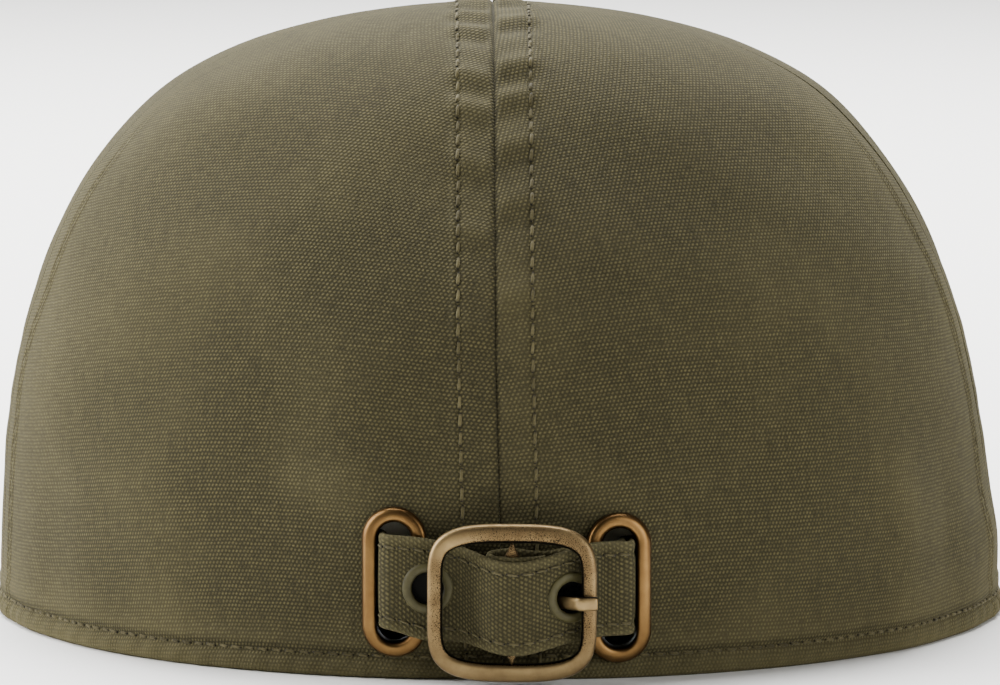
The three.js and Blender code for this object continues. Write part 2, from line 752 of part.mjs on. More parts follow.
// A place of an eyelet at a radius and angle round its middle, and a stand-off from the strap.
function eyeletTurn(radius, stand, eyelet, angle) {
  const { level, along } = eyelet;
  const side = new THREE.Vector2(-along.y, along.x);
  const across = radius * Math.cos(angle);
  const x = eyelet.x + along.x * across + side.x * stand;
  return onBack(x, level + along.y * across + side.y * stand, eyelet.z + radius * Math.sin(angle));
}

// Each eyelet lies at the strap's level and along the mean of its slopes at both sides.
for (const eyelet of EYELETS) {
  const left = longStrapAt(eyelet.x + EYELET_REACH * 0.6);
  const right = longStrapAt(eyelet.x - EYELET_REACH * 0.6);
  eyelet.level = longStrapAt(eyelet.x).level;
  eyelet.along = left.along.clone().add(right.along).normalize();
}

// A round eyelet: a domed flange on the strap, a barrel through it and a lip behind.
function eyeletGeometry(eyelet) {
  const inner = EYELET_INNER / 2;
  const outer = EYELET_OUTER / 2;
  const half = STRAP_THICKNESS / 2 + FIT_GAP;
  const middle = (inner + outer) / 2;
  const section = [
    [outer, half],
    [middle + EYELET_CROWN_OUT, half + EYELET_FACE],
    [middle - EYELET_CROWN_IN, half + EYELET_FACE],
    [inner, half],
    [inner, -half - EYELET_BACK],
    [middle + EYELET_CROWN_OUT, -half - EYELET_BACK],
    [middle + EYELET_CROWN_OUT, -half],
    [inner + EYELET_BARREL, -half],
    [inner + EYELET_BARREL, half],
  ];
  const sections = Array.from({ length: EYELET_STEPS }, (_, i) =>
    section.map(([radius, stand]) => eyeletTurn(radius, stand, eyelet, (2 * Math.PI * i) / EYELET_STEPS)),
  );
  return sweptGeometry(sections, true);
}

// The hole in the strap that an eyelet's barrel passes through.
function eyeletCutter(eyelet) {
  const past = 2 * STRAP_THICKNESS;
  const radius = EYELET_INNER / 2 + EYELET_BARREL + FIT_GAP;
  const sections = [-past, past].map((stand) =>
    Array.from({ length: EYELET_STEPS }, (_, i) =>
      eyeletTurn(radius, stand, eyelet, (2 * Math.PI * i) / EYELET_STEPS),
    ),
  );
  return solidOf(sweptGeometry(sections, false));
}

// The slit in the folded strap that the tongue lies in, from its loop to its end.
function tongueSlit() {
  const halfWidth = TONGUE_WIDTH / 2 + TOUCH_GAP;
  const low = CENTRE_BAR_LEVEL - LOOP_RADIUS * 0.75;
  const high = CREST + CUT_PAST;
  const sections = [-STRAP_WIDTH, LOOP_RADIUS * 2].map((x) =>
    [
      [-1, low],
      [1, low],
      [1, high],
      [-1, high],
    ].map(([side, stand]) => onBack(BUCKLE_X + x, stand, TONGUE_Z + side * halfWidth)),
  );
  return solidOf(sweptGeometry(sections, false));
}

// The peak: from inside the front of the hem out to its rim, arched over the middle. Its reach ahead
// falls off toward both ends, and it leans from the hem's own direction toward straight ahead.
function peakGeometry([across, along]) {
  const outer = [];
  const inner = [];
  for (let i = 0; i <= across; i += 1) {
    const u = -1 + (2 * i) / across;
    const angle = Math.PI - u * PEAK_HALF_DEGREES * RADIANS;
    const [hemX, hemY] = hemPlan(angle);
    const out = new THREE.Vector2(hemX / HALF_WIDTH ** 2, hemY / FRONT_DEPTH ** 2).normalize();
    const ahead = out.clone().lerp(new THREE.Vector2(0, -1), PEAK_STRAIGHTNESS).normalize();
    const reach = PEAK_SEWN_EDGE + PEAK_REACH * (1 - u * u) ** PEAK_RIM_POWER;
    const insideEdge = hemHeight(angle) - TOUCH_GAP;
    const arch = PEAK_ARCH * (1 - Math.abs(u) ** PEAK_ARCH_POWER);
    const outsideEdge = PEAK_THICKNESS + PEAK_FLOOR_GAP + arch;
    const outerRow = [];
    const innerRow = [];
    for (let j = 0; j <= along; j += 1) {
      const v = j / along;
      const x = hemX - out.x * PANEL_WALL * (1 - v) + ahead.x * reach * v;
      const y = hemY - out.y * PANEL_WALL * (1 - v) + ahead.y * reach * v;
      const z = insideEdge + (Math.min(outsideEdge, insideEdge) - insideEdge) * v;
      outerRow.push(new THREE.Vector3(x, y, z));
      innerRow.push(new THREE.Vector3(x, y, z - PEAK_THICKNESS));
    }
    outer.push(outerRow);
    inner.push(innerRow);
  }
  return shellGeometry(outer, inner);
}

// Assembly
const canvas = new THREE.MeshStandardMaterial({ color: 0x6b6142, roughness: 0.95, metalness: 0 });
const brass = new THREE.MeshStandardMaterial({ color: 0xa88047, roughness: 0.4, metalness: 1 });
const agedBrass = new THREE.MeshStandardMaterial({ color: 0x967a4c, roughness: 0.5, metalness: 1 });
const paintedMetal = new THREE.MeshStandardMaterial({ color: 0x64624a, roughness: 0.55, metalness: 0.3 });

const cap = new THREE.Group();

function addPiece(name, geometry, material) {
  const mesh = new THREE.Mesh(geometryOf(solidOf(geometry)), material);
  mesh.name = name;
  cap.add(mesh);
}

const slots = RINGS.map(slotCutter);
const leftPanel = solidOf(panelGeometry(BACK_SEAM, SIDE_SEAM, BACK_PANEL_STEPS)).subtract(slots[0]);
const rightPanel = solidOf(panelGeometry(-SIDE_SEAM, BACK_SEAM, BACK_PANEL_STEPS)).subtract(slots[1]);
addPiece("back_panel_left", geometryOf(leftPanel), canvas);
addPiece("back_panel_right", geometryOf(rightPanel), canvas);
addPiece("front_panel", panelGeometry(SIDE_SEAM, 2 * Math.PI - SIDE_SEAM, FRONT_PANEL_STEPS), canvas);
addPiece("peak", peakGeometry(PEAK_STEPS), canvas);

for (const ring of RINGS) {
  addPiece(`slot_ring_${ring.side}`, ringGeometry(ring), brass);
}

let longStrap = solidOf(strapGeometry(LONG_ROUTE));
for (const eyelet of EYELETS) {
  longStrap = longStrap.subtract(eyeletCutter(eyelet));
  addPiece(`strap_eyelet_${eyelet.side}`, eyeletGeometry(eyelet), paintedMetal);
}
addPiece("strap_long", geometryOf(longStrap), canvas);
addPiece("strap_short", geometryOf(solidOf(strapGeometry(SHORT_ROUTE)).subtract(tongueSlit())), canvas);

addPiece("buckle_frame", geometryOf(frameSolid().add(centreBarSolid())), agedBrass);
addPiece("buckle_tongue", tongueGeometry(), agedBrass);

// The origin is the middle of the cap's footprint, on the floor.
const box = new THREE.Box3().setFromObject(cap);
const middle = box.getCenter(new THREE.Vector3());
cap.position.set(-middle.x, -middle.y, -box.min.z);

export default cap;
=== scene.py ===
# A peaked cap in olive canvas, seen from behind: crown, peak, and a buckled strap that comes out of
# two oblong brass eyelets. Lengths are worked out in millimetres and put into the meshes in metres.

import math

import bpy
import numpy as np
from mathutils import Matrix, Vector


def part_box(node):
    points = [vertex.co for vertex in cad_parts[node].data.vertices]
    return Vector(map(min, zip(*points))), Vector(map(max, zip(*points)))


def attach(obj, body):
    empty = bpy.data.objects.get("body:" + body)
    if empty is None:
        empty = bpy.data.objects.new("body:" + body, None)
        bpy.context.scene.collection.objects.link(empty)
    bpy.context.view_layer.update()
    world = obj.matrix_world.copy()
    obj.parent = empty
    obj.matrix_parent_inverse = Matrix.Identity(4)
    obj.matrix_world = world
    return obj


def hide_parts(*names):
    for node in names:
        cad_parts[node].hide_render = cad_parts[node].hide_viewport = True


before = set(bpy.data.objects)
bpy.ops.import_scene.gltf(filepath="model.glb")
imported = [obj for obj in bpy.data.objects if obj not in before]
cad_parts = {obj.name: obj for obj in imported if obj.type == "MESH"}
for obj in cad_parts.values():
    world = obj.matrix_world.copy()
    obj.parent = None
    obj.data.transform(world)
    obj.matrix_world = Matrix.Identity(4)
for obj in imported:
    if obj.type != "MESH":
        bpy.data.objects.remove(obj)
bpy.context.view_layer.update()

# Crown
# Two back panels and one front panel of cotton duck canvas, cut flat, sewn face to face on the
# centre-back and ear-to-ear seams, pressed open and topstitched at both sides of each seam.
# The hem is turned up and stitched once round. Washing has puckered the seams and softened the form.

MM = 0.001
HALF_WIDTH = 90.0
BACK_DEPTH = 101.0
FRONT_DEPTH = 106.0
CROWN_HEIGHT = 110.7
TOP_Y = 29.0
TOP_LEAN = 1.3
FRONT_RISE = 24.0
RISE_START = math.radians(92)
PANEL_WALL = 1.6
SIDE_SEAM = math.acos(18.0 / BACK_DEPTH)
BACK_SEAM = math.asin(-0.6 / HALF_WIDTH)
SEAM_HALF_GAP = 0.004

SIDE_PROFILE = [[1, 0], [.997, .108], [.985, .225], [.965, .36], [.927, .48], [.874, .61], [.789, .735],
                [.666, .845], [.513, .918], [.337, .965], [.16, .991], [0, 1]]
BACK_PROFILE = [[1, 0], [1.02, .125], [1.014, .26], [.975, .4], [.905, .53], [.815, .64], [.69, .75],
                [.555, .85], [.41, .925], [.27, .968], [.13, .992], [0, 1]]
FRONT_PROFILE = [[1, 0], [1.016, .1], [1.006, .21], [.965, .345], [.885, .495], [.77, .64], [.635, .755],
                 [.49, .855], [.345, .925], [.21, .966], [.1, .99], [0, 1]]

# Soft hollows: degrees round from the back, share of the height, depth and reach in half widths.
DENTS = [(24, .3, .014, .16), (-27, .32, .014, .17), (140, .5, .02, .3), (-135, .55, .018, .28)]

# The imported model's origin is the middle of its footprint. The peak's middle and the front panel's
# tip, which ends just short of the top, tell how far that is from the crown's own middle.
TIP_SHORT = 0.151
peak_low, peak_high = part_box("peak")
tip_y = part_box("front_panel")[1].y / MM
SHIFT = np.array([(peak_low.x + peak_high.x) / 2 / MM, tip_y - (TOP_Y - TIP_SHORT), 0.0])


def smooth(low, high, value):
    """0 below low, 1 above high, and an S-shaped cubic between them."""
    share = np.clip((value - low) / (high - low), 0, 1)
    return share * share * (3 - 2 * share)


def bell(value, middle, reach):
    """1 at the middle, falling off as the exponential of minus the squared distance in reaches."""
    return np.exp(-(((value - middle) / reach) ** 2))


def profile_at(rows, t):
    """Catmull-Rom curve through a profile's rows, evenly spaced in t; past the top it mirrors."""
    rows = np.array(rows, float)
    last = len(rows) - 1
    place = np.clip(t, 0, 1) * last
    row = np.minimum(place.astype(int), last - 1)
    s = (place - row)[..., None]
    ends = np.vstack([2 * rows[0] - rows[1], rows, rows[-2] * [-1, 1]])
    a, b, c, d = (ends[row + k] for k in range(4))
    return 0.5 * (2 * b + (c - a) * s + (2 * a - 5 * b + 4 * c - d) * s**2 + (3 * b - a - 3 * c + d) * s**3)


def shares(angle, t):
    """Shares of plan distance and height: the three profiles weighted by squared cosines of the angle."""
    back = np.maximum(np.cos(angle), 0) ** 2
    front = np.maximum(-np.cos(angle), 0) ** 2
    parts = [(SIDE_PROFILE, 1 - back - front), (BACK_PROFILE, back), (FRONT_PROFILE, front)]
    total = sum(profile_at(rows, t) * weight[..., None] for rows, weight in parts)
    return total[..., 0], total[..., 1]


def hem_plan(angle):
    """Plan point of the hem: two half ellipses that share the cap's width."""
    depth = np.where(np.cos(angle) > 0, BACK_DEPTH, FRONT_DEPTH)
    return HALF_WIDTH * np.sin(angle), depth * np.cos(angle)


def turned(angle, degrees=0.0):
    """The angle from a direction given in degrees, wrapped to half a turn either way."""
    turn = angle - math.radians(degrees)
    return np.arctan2(np.sin(turn), np.cos(turn))


def hem_height(angle):
    """The hem lies flat behind and rises in an S-shaped curve to the middle of the front."""
    return FRONT_RISE * smooth(RISE_START, math.pi, np.abs(turned(angle)))


def smooth_crown(angle, t):
    """Straight meridians in plan from the hem to the top, at the shared height, with a slight lean."""
    q, p = shares(angle, t)
    hem_x, hem_y = hem_plan(angle)
    low = hem_height(angle)
    x = hem_x * q + TOP_LEAN * np.minimum(1, 2 * p)
    y = TOP_Y + (hem_y - TOP_Y) * q
    return np.stack([x, y, low + (CROWN_HEIGHT - low) * p], -1)


def unit(vectors):
    """Vectors at length one."""
    return vectors / np.maximum(np.linalg.norm(vectors, axis=-1, keepdims=True), 1e-9)


def outward(angle, t):
    """Unit normal of the smooth crown: the cross product of its steps up and around."""
    step = 0.002
    t = np.clip(t, step, 1 - 2 * step)
    around = smooth_crown(angle + step, t) - smooth_crown(angle - step, t)
    up = smooth_crown(angle, t + step) - smooth_crown(angle, t - step)
    return unit(np.cross(up, around))


def crown(angle, t):
    """The crown's outer surface and its normals: the smooth crown less its soft hollows, each the
    exponential of minus the squared turn and rise from its middle over its squared reach."""
    depth = np.zeros_like(t)
    height = profile_at(SIDE_PROFILE, t)[..., 1]
    for degrees, middle, deep, reach in DENTS:
        spread = turned(angle, degrees) ** 2 + (1.2 * (height - middle)) ** 2
        depth += HALF_WIDTH * deep * np.exp(-spread / reach**2)
    normal = outward(angle, t)
    return smooth_crown(angle, t) - normal * (depth * smooth(0, 1 / 6, t))[..., None], normal


def path_lengths(points):
    """Lengths along a row of points, from its first one."""
    steps = np.linalg.norm(np.diff(points, axis=0), axis=-1)
    return np.concatenate([[0.0], np.cumsum(steps)])


STITCH_OFFSET = 6.3
STITCH_PITCH = 3.2
HEM_STITCH = 4.0
HEM_PITCH = 2.75
ALLOWANCE_RISE = 0.34
BACK_GROOVE, SIDE_GROOVE = 0.45, 0.05
CHANNEL_DEPTH = 0.3
HOLE_DEPTH = 0.22
PUCKER_RISE, PUCKER_DIP = 0.62, 0.5
PUCKER_SLANT = 0.25
SEAMS = [BACK_SEAM, SIDE_SEAM, -SIDE_SEAM]

# Puckers across the two allowances of the centre-back seam: millimetres up the seam from the hem.
PUCKERS = {1: [143, 134, 127, 112, 104, 92, 78, 60], -1: [145, 131, 115, 107, 96, 84, 66, 47]}

rows_up = np.linspace(0, 1, 800)
SEAM_LENGTHS = {seam: path_lengths(crown(np.full(len(rows_up), seam), rows_up)[0]) for seam in SEAMS}
hem_angles = np.radians(np.linspace(-180, 180, 2881))
HEM_LENGTHS = path_lengths(np.stack(hem_plan(hem_angles), -1))


def off_seam(angle, t, seam):
    """Plan distance from a seam's upright plane, plus toward the wearer's left at the back seam."""
    q, _ = shares(angle, t)
    x, y = hem_plan(angle)
    seam_x, seam_y = hem_plan(np.array(seam))
    length = math.hypot(seam_x, seam_y - TOP_Y)
    across = (x * (seam_y - TOP_Y) - (y - TOP_Y) * seam_x) / length
    ahead = (x * seam_x + (y - TOP_Y) * (seam_y - TOP_Y)) / length
    return across * q, ahead * q


def seam_relief(angle, t, seam):
    """A groove at the seam, the raised allowance beside it, the stitch channel with its holes, and
    puckers across the allowance, each a bell-shaped ridge and hollow. All of it fades near the top."""
    across, ahead = off_seam(angle, t, seam)
    away = np.abs(across)
    up = np.interp(t, rows_up, SEAM_LENGTHS[seam])
    hole = np.abs((up / STITCH_PITCH) % 1 - 0.5) * 2
    groove = BACK_GROOVE if seam == BACK_SEAM else SIDE_GROOVE
    relief = ALLOWANCE_RISE * (1 - smooth(6.9, 8.0, away)) - groove * bell(away, 0, 0.4)
    relief -= CHANNEL_DEPTH * bell(away, STITCH_OFFSET, 0.6)
    relief -= HOLE_DEPTH * bell(away, STITCH_OFFSET, 0.5) * smooth(0.62, 1, hole)
    band = smooth(0, 1.6, away) * (1 - smooth(5.6, 9.5, away))
    if seam == BACK_SEAM:
        slant = up - PUCKER_SLANT * away
        for side, places in PUCKERS.items():
            here = band * (across * side > 0) * (0.35 + 0.65 * smooth(20, 150, up))
            for place in places:
                relief += here * (PUCKER_RISE * bell(slant, place, 2.1)
                                  - PUCKER_DIP * bell(slant, place - 4.6, 2.2))
        relief = relief * (1 - 0.9 * smooth(146, 154, up))
    else:
        wave = np.sin(up / 1.9 + 2.2 * np.sin(up / 7.1)) * np.sin(up / 5.3 + 1.1)
        relief += band * 0.08 * wave * (1 - smooth(40, 90, up))
        relief = relief * (1 - 0.85 * smooth(60, 110, up))
    return relief * smooth(-8, 2, ahead)


WANDER = 0.28
CLOSURE_X = -1.0
CLOSURE_DIP = 1.8
HEM_RISE = 0.3
HEM_ROPE = 0.16
FOLDS = [  # degrees round, share of the height, reaches in degrees and in share, millimetres out
    (17, .30, 7, .045, .9),
    (-24, .40, 11, .08, -.9),
    (9, .40, 6, .09, -.6),
    (-52, .17, 4, .16, .8),
    (-62, .15, 4, .14, -.7),
    (40, .16, 6, .13, .5),
    (60, .12, 5, .12, -.6),
    (-78, .13, 6, .05, .9),
    (75, .45, 14, .1, .6),
    (-70, .5, 16, .1, .7),
    (150, .3, 18, .1, 1.2),
    (-160, .35, 18, .12, 1.0),
    (115, .6, 14, .12, 1.0),
    (-112, .3, 12, .1, .9),
]


def cloth(angle, t):
    """The crown's surface with what sewing and wear have done to it, in millimetres: the seams, the
    bell-shaped folds, a slow wander of sines, the dip that the closure pulls in, and the turned hem,
    roped by a slanting sine, swollen under its stitches and dented at each stitch hole."""
    point, normal = crown(angle, t)
    x, y, z = point[..., 0], point[..., 1], point[..., 2]
    height = z - hem_height(angle)
    share = height / CROWN_HEIGHT
    relief = sum(seam_relief(angle, t, seam) for seam in SEAMS)
    for degrees, middle, reach, tall, out in FOLDS:
        turn = np.degrees(turned(angle, degrees))
        relief = relief + out * bell(turn, 0, reach) * bell(share, middle, tall)
    wander = (np.sin(3.1 * angle + 9 * share) * np.sin(7 * share + 5 * angle)
              + 0.6 * np.sin(11 * angle - 17 * share) * np.sin(13 * share + 1.3))
    relief = relief + WANDER * wander * smooth(0.04, 0.25, share) * (1 - smooth(0.85, 1, share))
    relief = relief * (1 - 0.8 * bell(x, CLOSURE_X, 34) * bell(z, 14, 15))
    relief = relief - CLOSURE_DIP * bell(x, CLOSURE_X, 11) * (1 - smooth(25, 35, z)) * (y > 0)
    around = np.interp(turned(angle), hem_angles, HEM_LENGTHS)
    hole = np.abs((around / HEM_PITCH) % 1 - 0.5) * 2
    rope = np.sin(2 * math.pi * (around / 5.3 + height / 9 + 0.35 * np.sin(around / 17)))
    rope = rope * smooth(0, 1.2, height) * (1 - smooth(3.4, 5, height))
    relief = relief + (1 - smooth(6.6, 7.8, height)) * (HEM_RISE + HEM_ROPE * rope)
    relief = relief + 0.45 * bell(height, 1.9, 1.3) - 0.32 * bell(height, HEM_STITCH, 0.7)
    relief = relief - 0.2 * bell(height, HEM_STITCH, 0.5) * smooth(0.6, 1, hole)
    return point + normal * relief[..., None], normal, relief, height


MEAN_ROUND = 88.0


def lay_flat(points, middle):
    """A panel's flat pattern. Each point starts at its distance from the middle of the panel along the
    cloth, in its own direction, and then the grid's edges and diagonals ease to their real lengths."""
    i, j = middle
    across = unit(points[i + 1, j] - points[i - 1, j])
    up = unit(points[i, j + 1] - points[i, j - 1])
    up = unit(up - across * (up @ across))
    away = points - points[i, j]
    chord = np.linalg.norm(away, axis=-1)
    flat = np.stack([away @ across, away @ up], -1)
    flat = unit(flat) * (chord * (1 + chord**2 / (24 * MEAN_ROUND**2)))[..., None]
    every, first, last = slice(None), slice(0, -1), slice(1, None)
    pairs = [((first, every), (last, every)), ((every, first), (every, last)),
             ((first, first), (last, last)), ((first, last), (last, first))]
    lengths = [np.linalg.norm(points[a] - points[b], axis=-1) for a, b in pairs]
    for _ in range(900):
        move = np.zeros_like(flat)
        for (a, b), real in zip(pairs, lengths):
            gap = flat[b] - flat[a]
            now = np.maximum(np.linalg.norm(gap, axis=-1), 1e-6)
            pull = gap * (0.5 * (now - real) / now)[..., None]
            move[a] += pull
            move[b] -= pull
        flat += 0.22 * move
    return flat


def between(grid, i_place, j_place):
    """A grid's value between its points: the mean of the four round a place, weighted by nearness."""
    i = np.minimum(i_place.astype(int), grid.shape[0] - 2)
    j = np.minimum(j_place.astype(int), grid.shape[1] - 2)
    si, sj = (i_place - i)[..., None], (j_place - j)[..., None]
    return ((grid[i, j] * (1 - si) + grid[i + 1, j] * si) * (1 - sj)
            + (grid[i, j + 1] * (1 - si) + grid[i + 1, j + 1] * si) * sj)


def place_object(name, data):
    """Puts a mesh, a lamp or a camera into the scene."""
    made = bpy.data.objects.new(name, data)
    bpy.context.scene.collection.objects.link(made)
    return made


def solid_mesh(name, vertices, faces, wear_and_shade=None):
    """Puts arrays into a closed mesh in metres, with its worn places and its painted shade. Where its volume,
    the sum of the products of the triangles' corners, comes out below zero, the faces are turned to face
    outward."""
    mesh = bpy.data.meshes.new(name)
    mesh.from_pydata(((vertices + SHIFT) * MM).tolist(), [], faces)
    mesh.calc_loop_triangles()
    corners = np.zeros(3 * len(mesh.loop_triangles), np.int32)
    mesh.loop_triangles.foreach_get("vertices", corners)
    a, b, c = (vertices[corners[k::3]] for k in range(3))
    if np.einsum("ij,ij->i", a, np.cross(b, c)).sum() < 0:
        mesh.flip_normals()
    if wear_and_shade is not None:
        worn = mesh.attributes.new("wear_and_shade", "FLOAT", "POINT")
        worn.data.foreach_set("value", wear_and_shade.astype(np.float32))
    return mesh


def finish_mesh(name, vertices, faces, material, replaces=(), uv=None, wear_and_shade=None):
    """Makes a mesh with its pattern coordinates, material, worn places and painted shade, and declares its
    piece.
    """
    mesh = solid_mesh(name, vertices, faces, wear_and_shade)
    if uv is not None:
        corner = np.zeros(len(mesh.loops), np.int32)
        mesh.loops.foreach_get("vertex_index", corner)
        layer = mesh.uv_layers.new(name="pattern")
        layer.data.foreach_set("uv", (uv[corner] * MM).astype(np.float32).ravel())
    mesh.shade_smooth()
    mesh.materials.append(material)
    piece = place_object(name, mesh)
    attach(piece, "root")
    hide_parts(*replaces)
    return piece


def shell_faces(rows, columns):
    """Faces of a closed shell made of two grids of the same size, outer one first."""
    grid = np.arange(rows * columns).reshape(rows, columns)
    under = rows * columns
    outer = np.stack([grid[:-1, :-1], grid[:-1, 1:], grid[1:, 1:], grid[1:, :-1]], -1).reshape(-1, 4)
    edge = np.concatenate([grid[:-1, 0], grid[-1, :-1], grid[:0:-1, -1], grid[0, :0:-1]])
    follow = np.roll(edge, -1)
    walls = np.stack([edge, follow, follow + under, edge + under], -1)
    return np.vstack([outer, outer[:, ::-1] + under, walls]).tolist()


def to_linear(code):
    """An sRGB hex colour as linear red, green, blue and one."""
    parts = [int(code[k:k + 2], 16) / 255 for k in (1, 3, 5)]
    return [c / 12.92 if c <= 0.04045 else ((c + 0.055) / 1.055) ** 2.4 for c in parts] + [1.0]


def blank_material(name):
    """A material with an empty node tree, and that tree."""
    material = bpy.data.materials.new(name)
    material.use_nodes = True
    material.node_tree.nodes.clear()
    return material, material.node_tree


def add_node(tree, kind, inputs=None, **settings):
    """Adds a shader node. Settings are its properties. An input is a value, a socket that feeds it, or
    a node, whose first output in use feeds it."""
    made = tree.nodes.new(kind)
    for key, value in settings.items():
        setattr(made, key, value)
    for key, source in (inputs or {}).items():
        if isinstance(source, bpy.types.Node):
            source = next(output for output in source.outputs if output.enabled)
        if isinstance(source, bpy.types.NodeSocket):
            tree.links.new(source, made.inputs[key])
        else:
            made.inputs[key].default_value = source
    return made


NOISE = "ShaderNodeTexNoise"
MATH = "ShaderNodeMath"
VECTOR_MATH = "ShaderNodeVectorMath"
MAPPING = "ShaderNodeMapping"
MAP_RANGE = "ShaderNodeMapRange"
MIX = "ShaderNodeMix"
ATTRIBUTE = "ShaderNodeAttribute"
BUMP = "ShaderNodeBump"
PRINCIPLED = "ShaderNodeBsdfPrincipled"
OUTPUT = "ShaderNodeOutputMaterial"
WARP_SPACING = 0.39
WEFT_SPACING = 0.655


def canvas_material(name, gap_hex, thread_hex, rub_hex, shade_hex):
    """Cotton duck: heavy weft beads in staggered rows over a fine warp, matt, with a soft fuzz. The
    beads are the product of two cosines, leaning a little, plus a cosine for the rows. The thread
    spacings are the real ones, 0.39 mm across and 0.655 mm up."""
    material, tree = blank_material(name)
    place = add_node(tree, "ShaderNodeUVMap", uv_map="pattern")
    slub = add_node(tree, NOISE, {"Vector": place, "Scale": 420.0, "Detail": 2.0})
    waver = add_node(tree, VECTOR_MATH, {0: slub.outputs["Color"], 1: (0.5, 0.5, 0.5)}, operation="SUBTRACT")
    spread = add_node(tree, VECTOR_MATH, {0: waver, "Scale": 0.0003}, operation="SCALE")
    moved = add_node(tree, VECTOR_MATH, {0: place, 1: spread}, operation="ADD")
    per_thread = (math.pi / (WARP_SPACING * MM), math.pi / (WEFT_SPACING * MM), 1)
    split = add_node(tree, "ShaderNodeSeparateXYZ",
                     {0: add_node(tree, MAPPING, {"Vector": moved, "Scale": per_thread})})
    double = add_node(tree, MATH, {0: split.outputs[1], 1: 2.0}, operation="MULTIPLY")
    lean = add_node(tree, MATH, {0: double}, operation="SINE")
    leaned = add_node(tree, MATH, {0: lean, 1: 0.45, 2: split.outputs[0]}, operation="MULTIPLY_ADD")
    across = add_node(tree, MATH, {0: leaned}, operation="COSINE")
    up = add_node(tree, MATH, {0: split.outputs[1]}, operation="COSINE")
    beads = add_node(tree, MATH, {0: across, 1: up}, operation="MULTIPLY")
    rows = add_node(tree, MATH, {0: double}, operation="COSINE")
    weave = add_node(tree, MATH, {0: rows, 1: 0.5, 2: beads}, operation="MULTIPLY_ADD")
    level = add_node(tree, MAP_RANGE, {"Value": weave, "From Min": -0.85, "From Max": 1.4},
                     interpolation_type="SMOOTHSTEP")
    uneven = add_node(tree, NOISE, {"Vector": place, "Scale": 1700.0, "Detail": 3.0, "Roughness": 0.7})
    fibre = uneven
    for scale in ((320, 1500, 1), (2600, 160, 1)):
        stretched = add_node(tree, MAPPING, {"Vector": place, "Scale": scale})
        streak = add_node(tree, NOISE, {"Vector": stretched, "Scale": 1.0, "Detail": 2.0})
        uneven = add_node(tree, MATH, {0: uneven, 1: streak}, operation="ADD")
    strength = add_node(tree, MAP_RANGE, {"Value": uneven, "From Min": 1.0, "From Max": 2.0,
                                          "To Min": -0.1, "To Max": 1.6})
    raised = add_node(tree, MATH, {0: level, 1: strength}, operation="MULTIPLY")
    thread = add_node(tree, MIX, {"Factor": raised, "A": to_linear(gap_hex), "B": to_linear(thread_hex)},
                      data_type="RGBA")
    wear_and_shade = add_node(tree, ATTRIBUTE, attribute_name="wear_and_shade").outputs["Fac"]
    cloud = add_node(tree, NOISE, {"Vector": place, "Scale": 28.0, "Detail": 4.0, "Roughness": 0.6})
    faded = add_node(tree, MAP_RANGE, {"Value": cloud, "From Min": 0.35, "From Max": 0.7,
                                       "To Min": -0.06, "To Max": 0.1})
    worn = add_node(tree, MATH, {0: wear_and_shade, 1: faded}, operation="ADD", use_clamp=True)
    colour = add_node(tree, MIX, {"Factor": worn, "A": thread, "B": to_linear(rub_hex)}, data_type="RGBA")
    # Below zero the attribute mixes the cloth toward near-black: painted shade in the seam groove, the hem
    # channel, the cuts and the strap ends inside the crown.
    painted_shade = add_node(tree, MAP_RANGE, {"Value": wear_and_shade, "From Min": -1.0, "From Max": -0.04,
                                      "To Min": 1.0, "To Max": 0.0})
    shaded = add_node(tree, MIX, {"Factor": painted_shade, "A": colour, "B": to_linear(shade_hex)}, data_type="RGBA")
    relief = add_node(tree, MATH, {0: fibre, 1: 0.3, 2: level}, operation="MULTIPLY_ADD")
    bump = add_node(tree, BUMP, {"Height": relief, "Strength": 0.55, "Distance": 0.00022})
    cotton = add_node(tree, PRINCIPLED, {
        "Base Color": shaded, "Normal": bump, "Roughness": 0.94, "IOR": 1.45, "Specular IOR Level": 0.2,
        "Sheen Weight": 0.07, "Sheen Roughness": 0.5, "Sheen Tint": to_linear("#a3975f")})
    add_node(tree, OUTPUT, {"Surface": cotton})
    return material


# The last colour is near-black, for the painted shade.
olive_canvas = canvas_material("olive_cotton_duck", "#292617", "#544e32", "#686143", "#0a0a08")


def graded(length_near, step_near, step_far, total, grow=1.14):
    """Distances from an edge to the middle: fine steps first, then steps that grow to the far one."""
    places, step = [0.0], step_near
    while places[-1] < total:
        places.append(places[-1] + step)
        if places[-1] > length_near:
            step = min(step * grow, step_far)
    return np.array(places) * total / places[-1]


FINE_DEGREES = 6.0
EDGE_ROUND = 0.75


def panel_grid(start, end, fine, coarse):
    """Angles of a panel's columns, closest at its two seams, in degrees turned to radians."""
    half = (end - start) / 2
    trim = SEAM_HALF_GAP / BACK_DEPTH
    steps = np.radians(graded(FINE_DEGREES, fine, coarse, math.degrees(half - trim)))
    return np.concatenate([start + trim + steps, (end - trim - steps[::-1])[1:]])


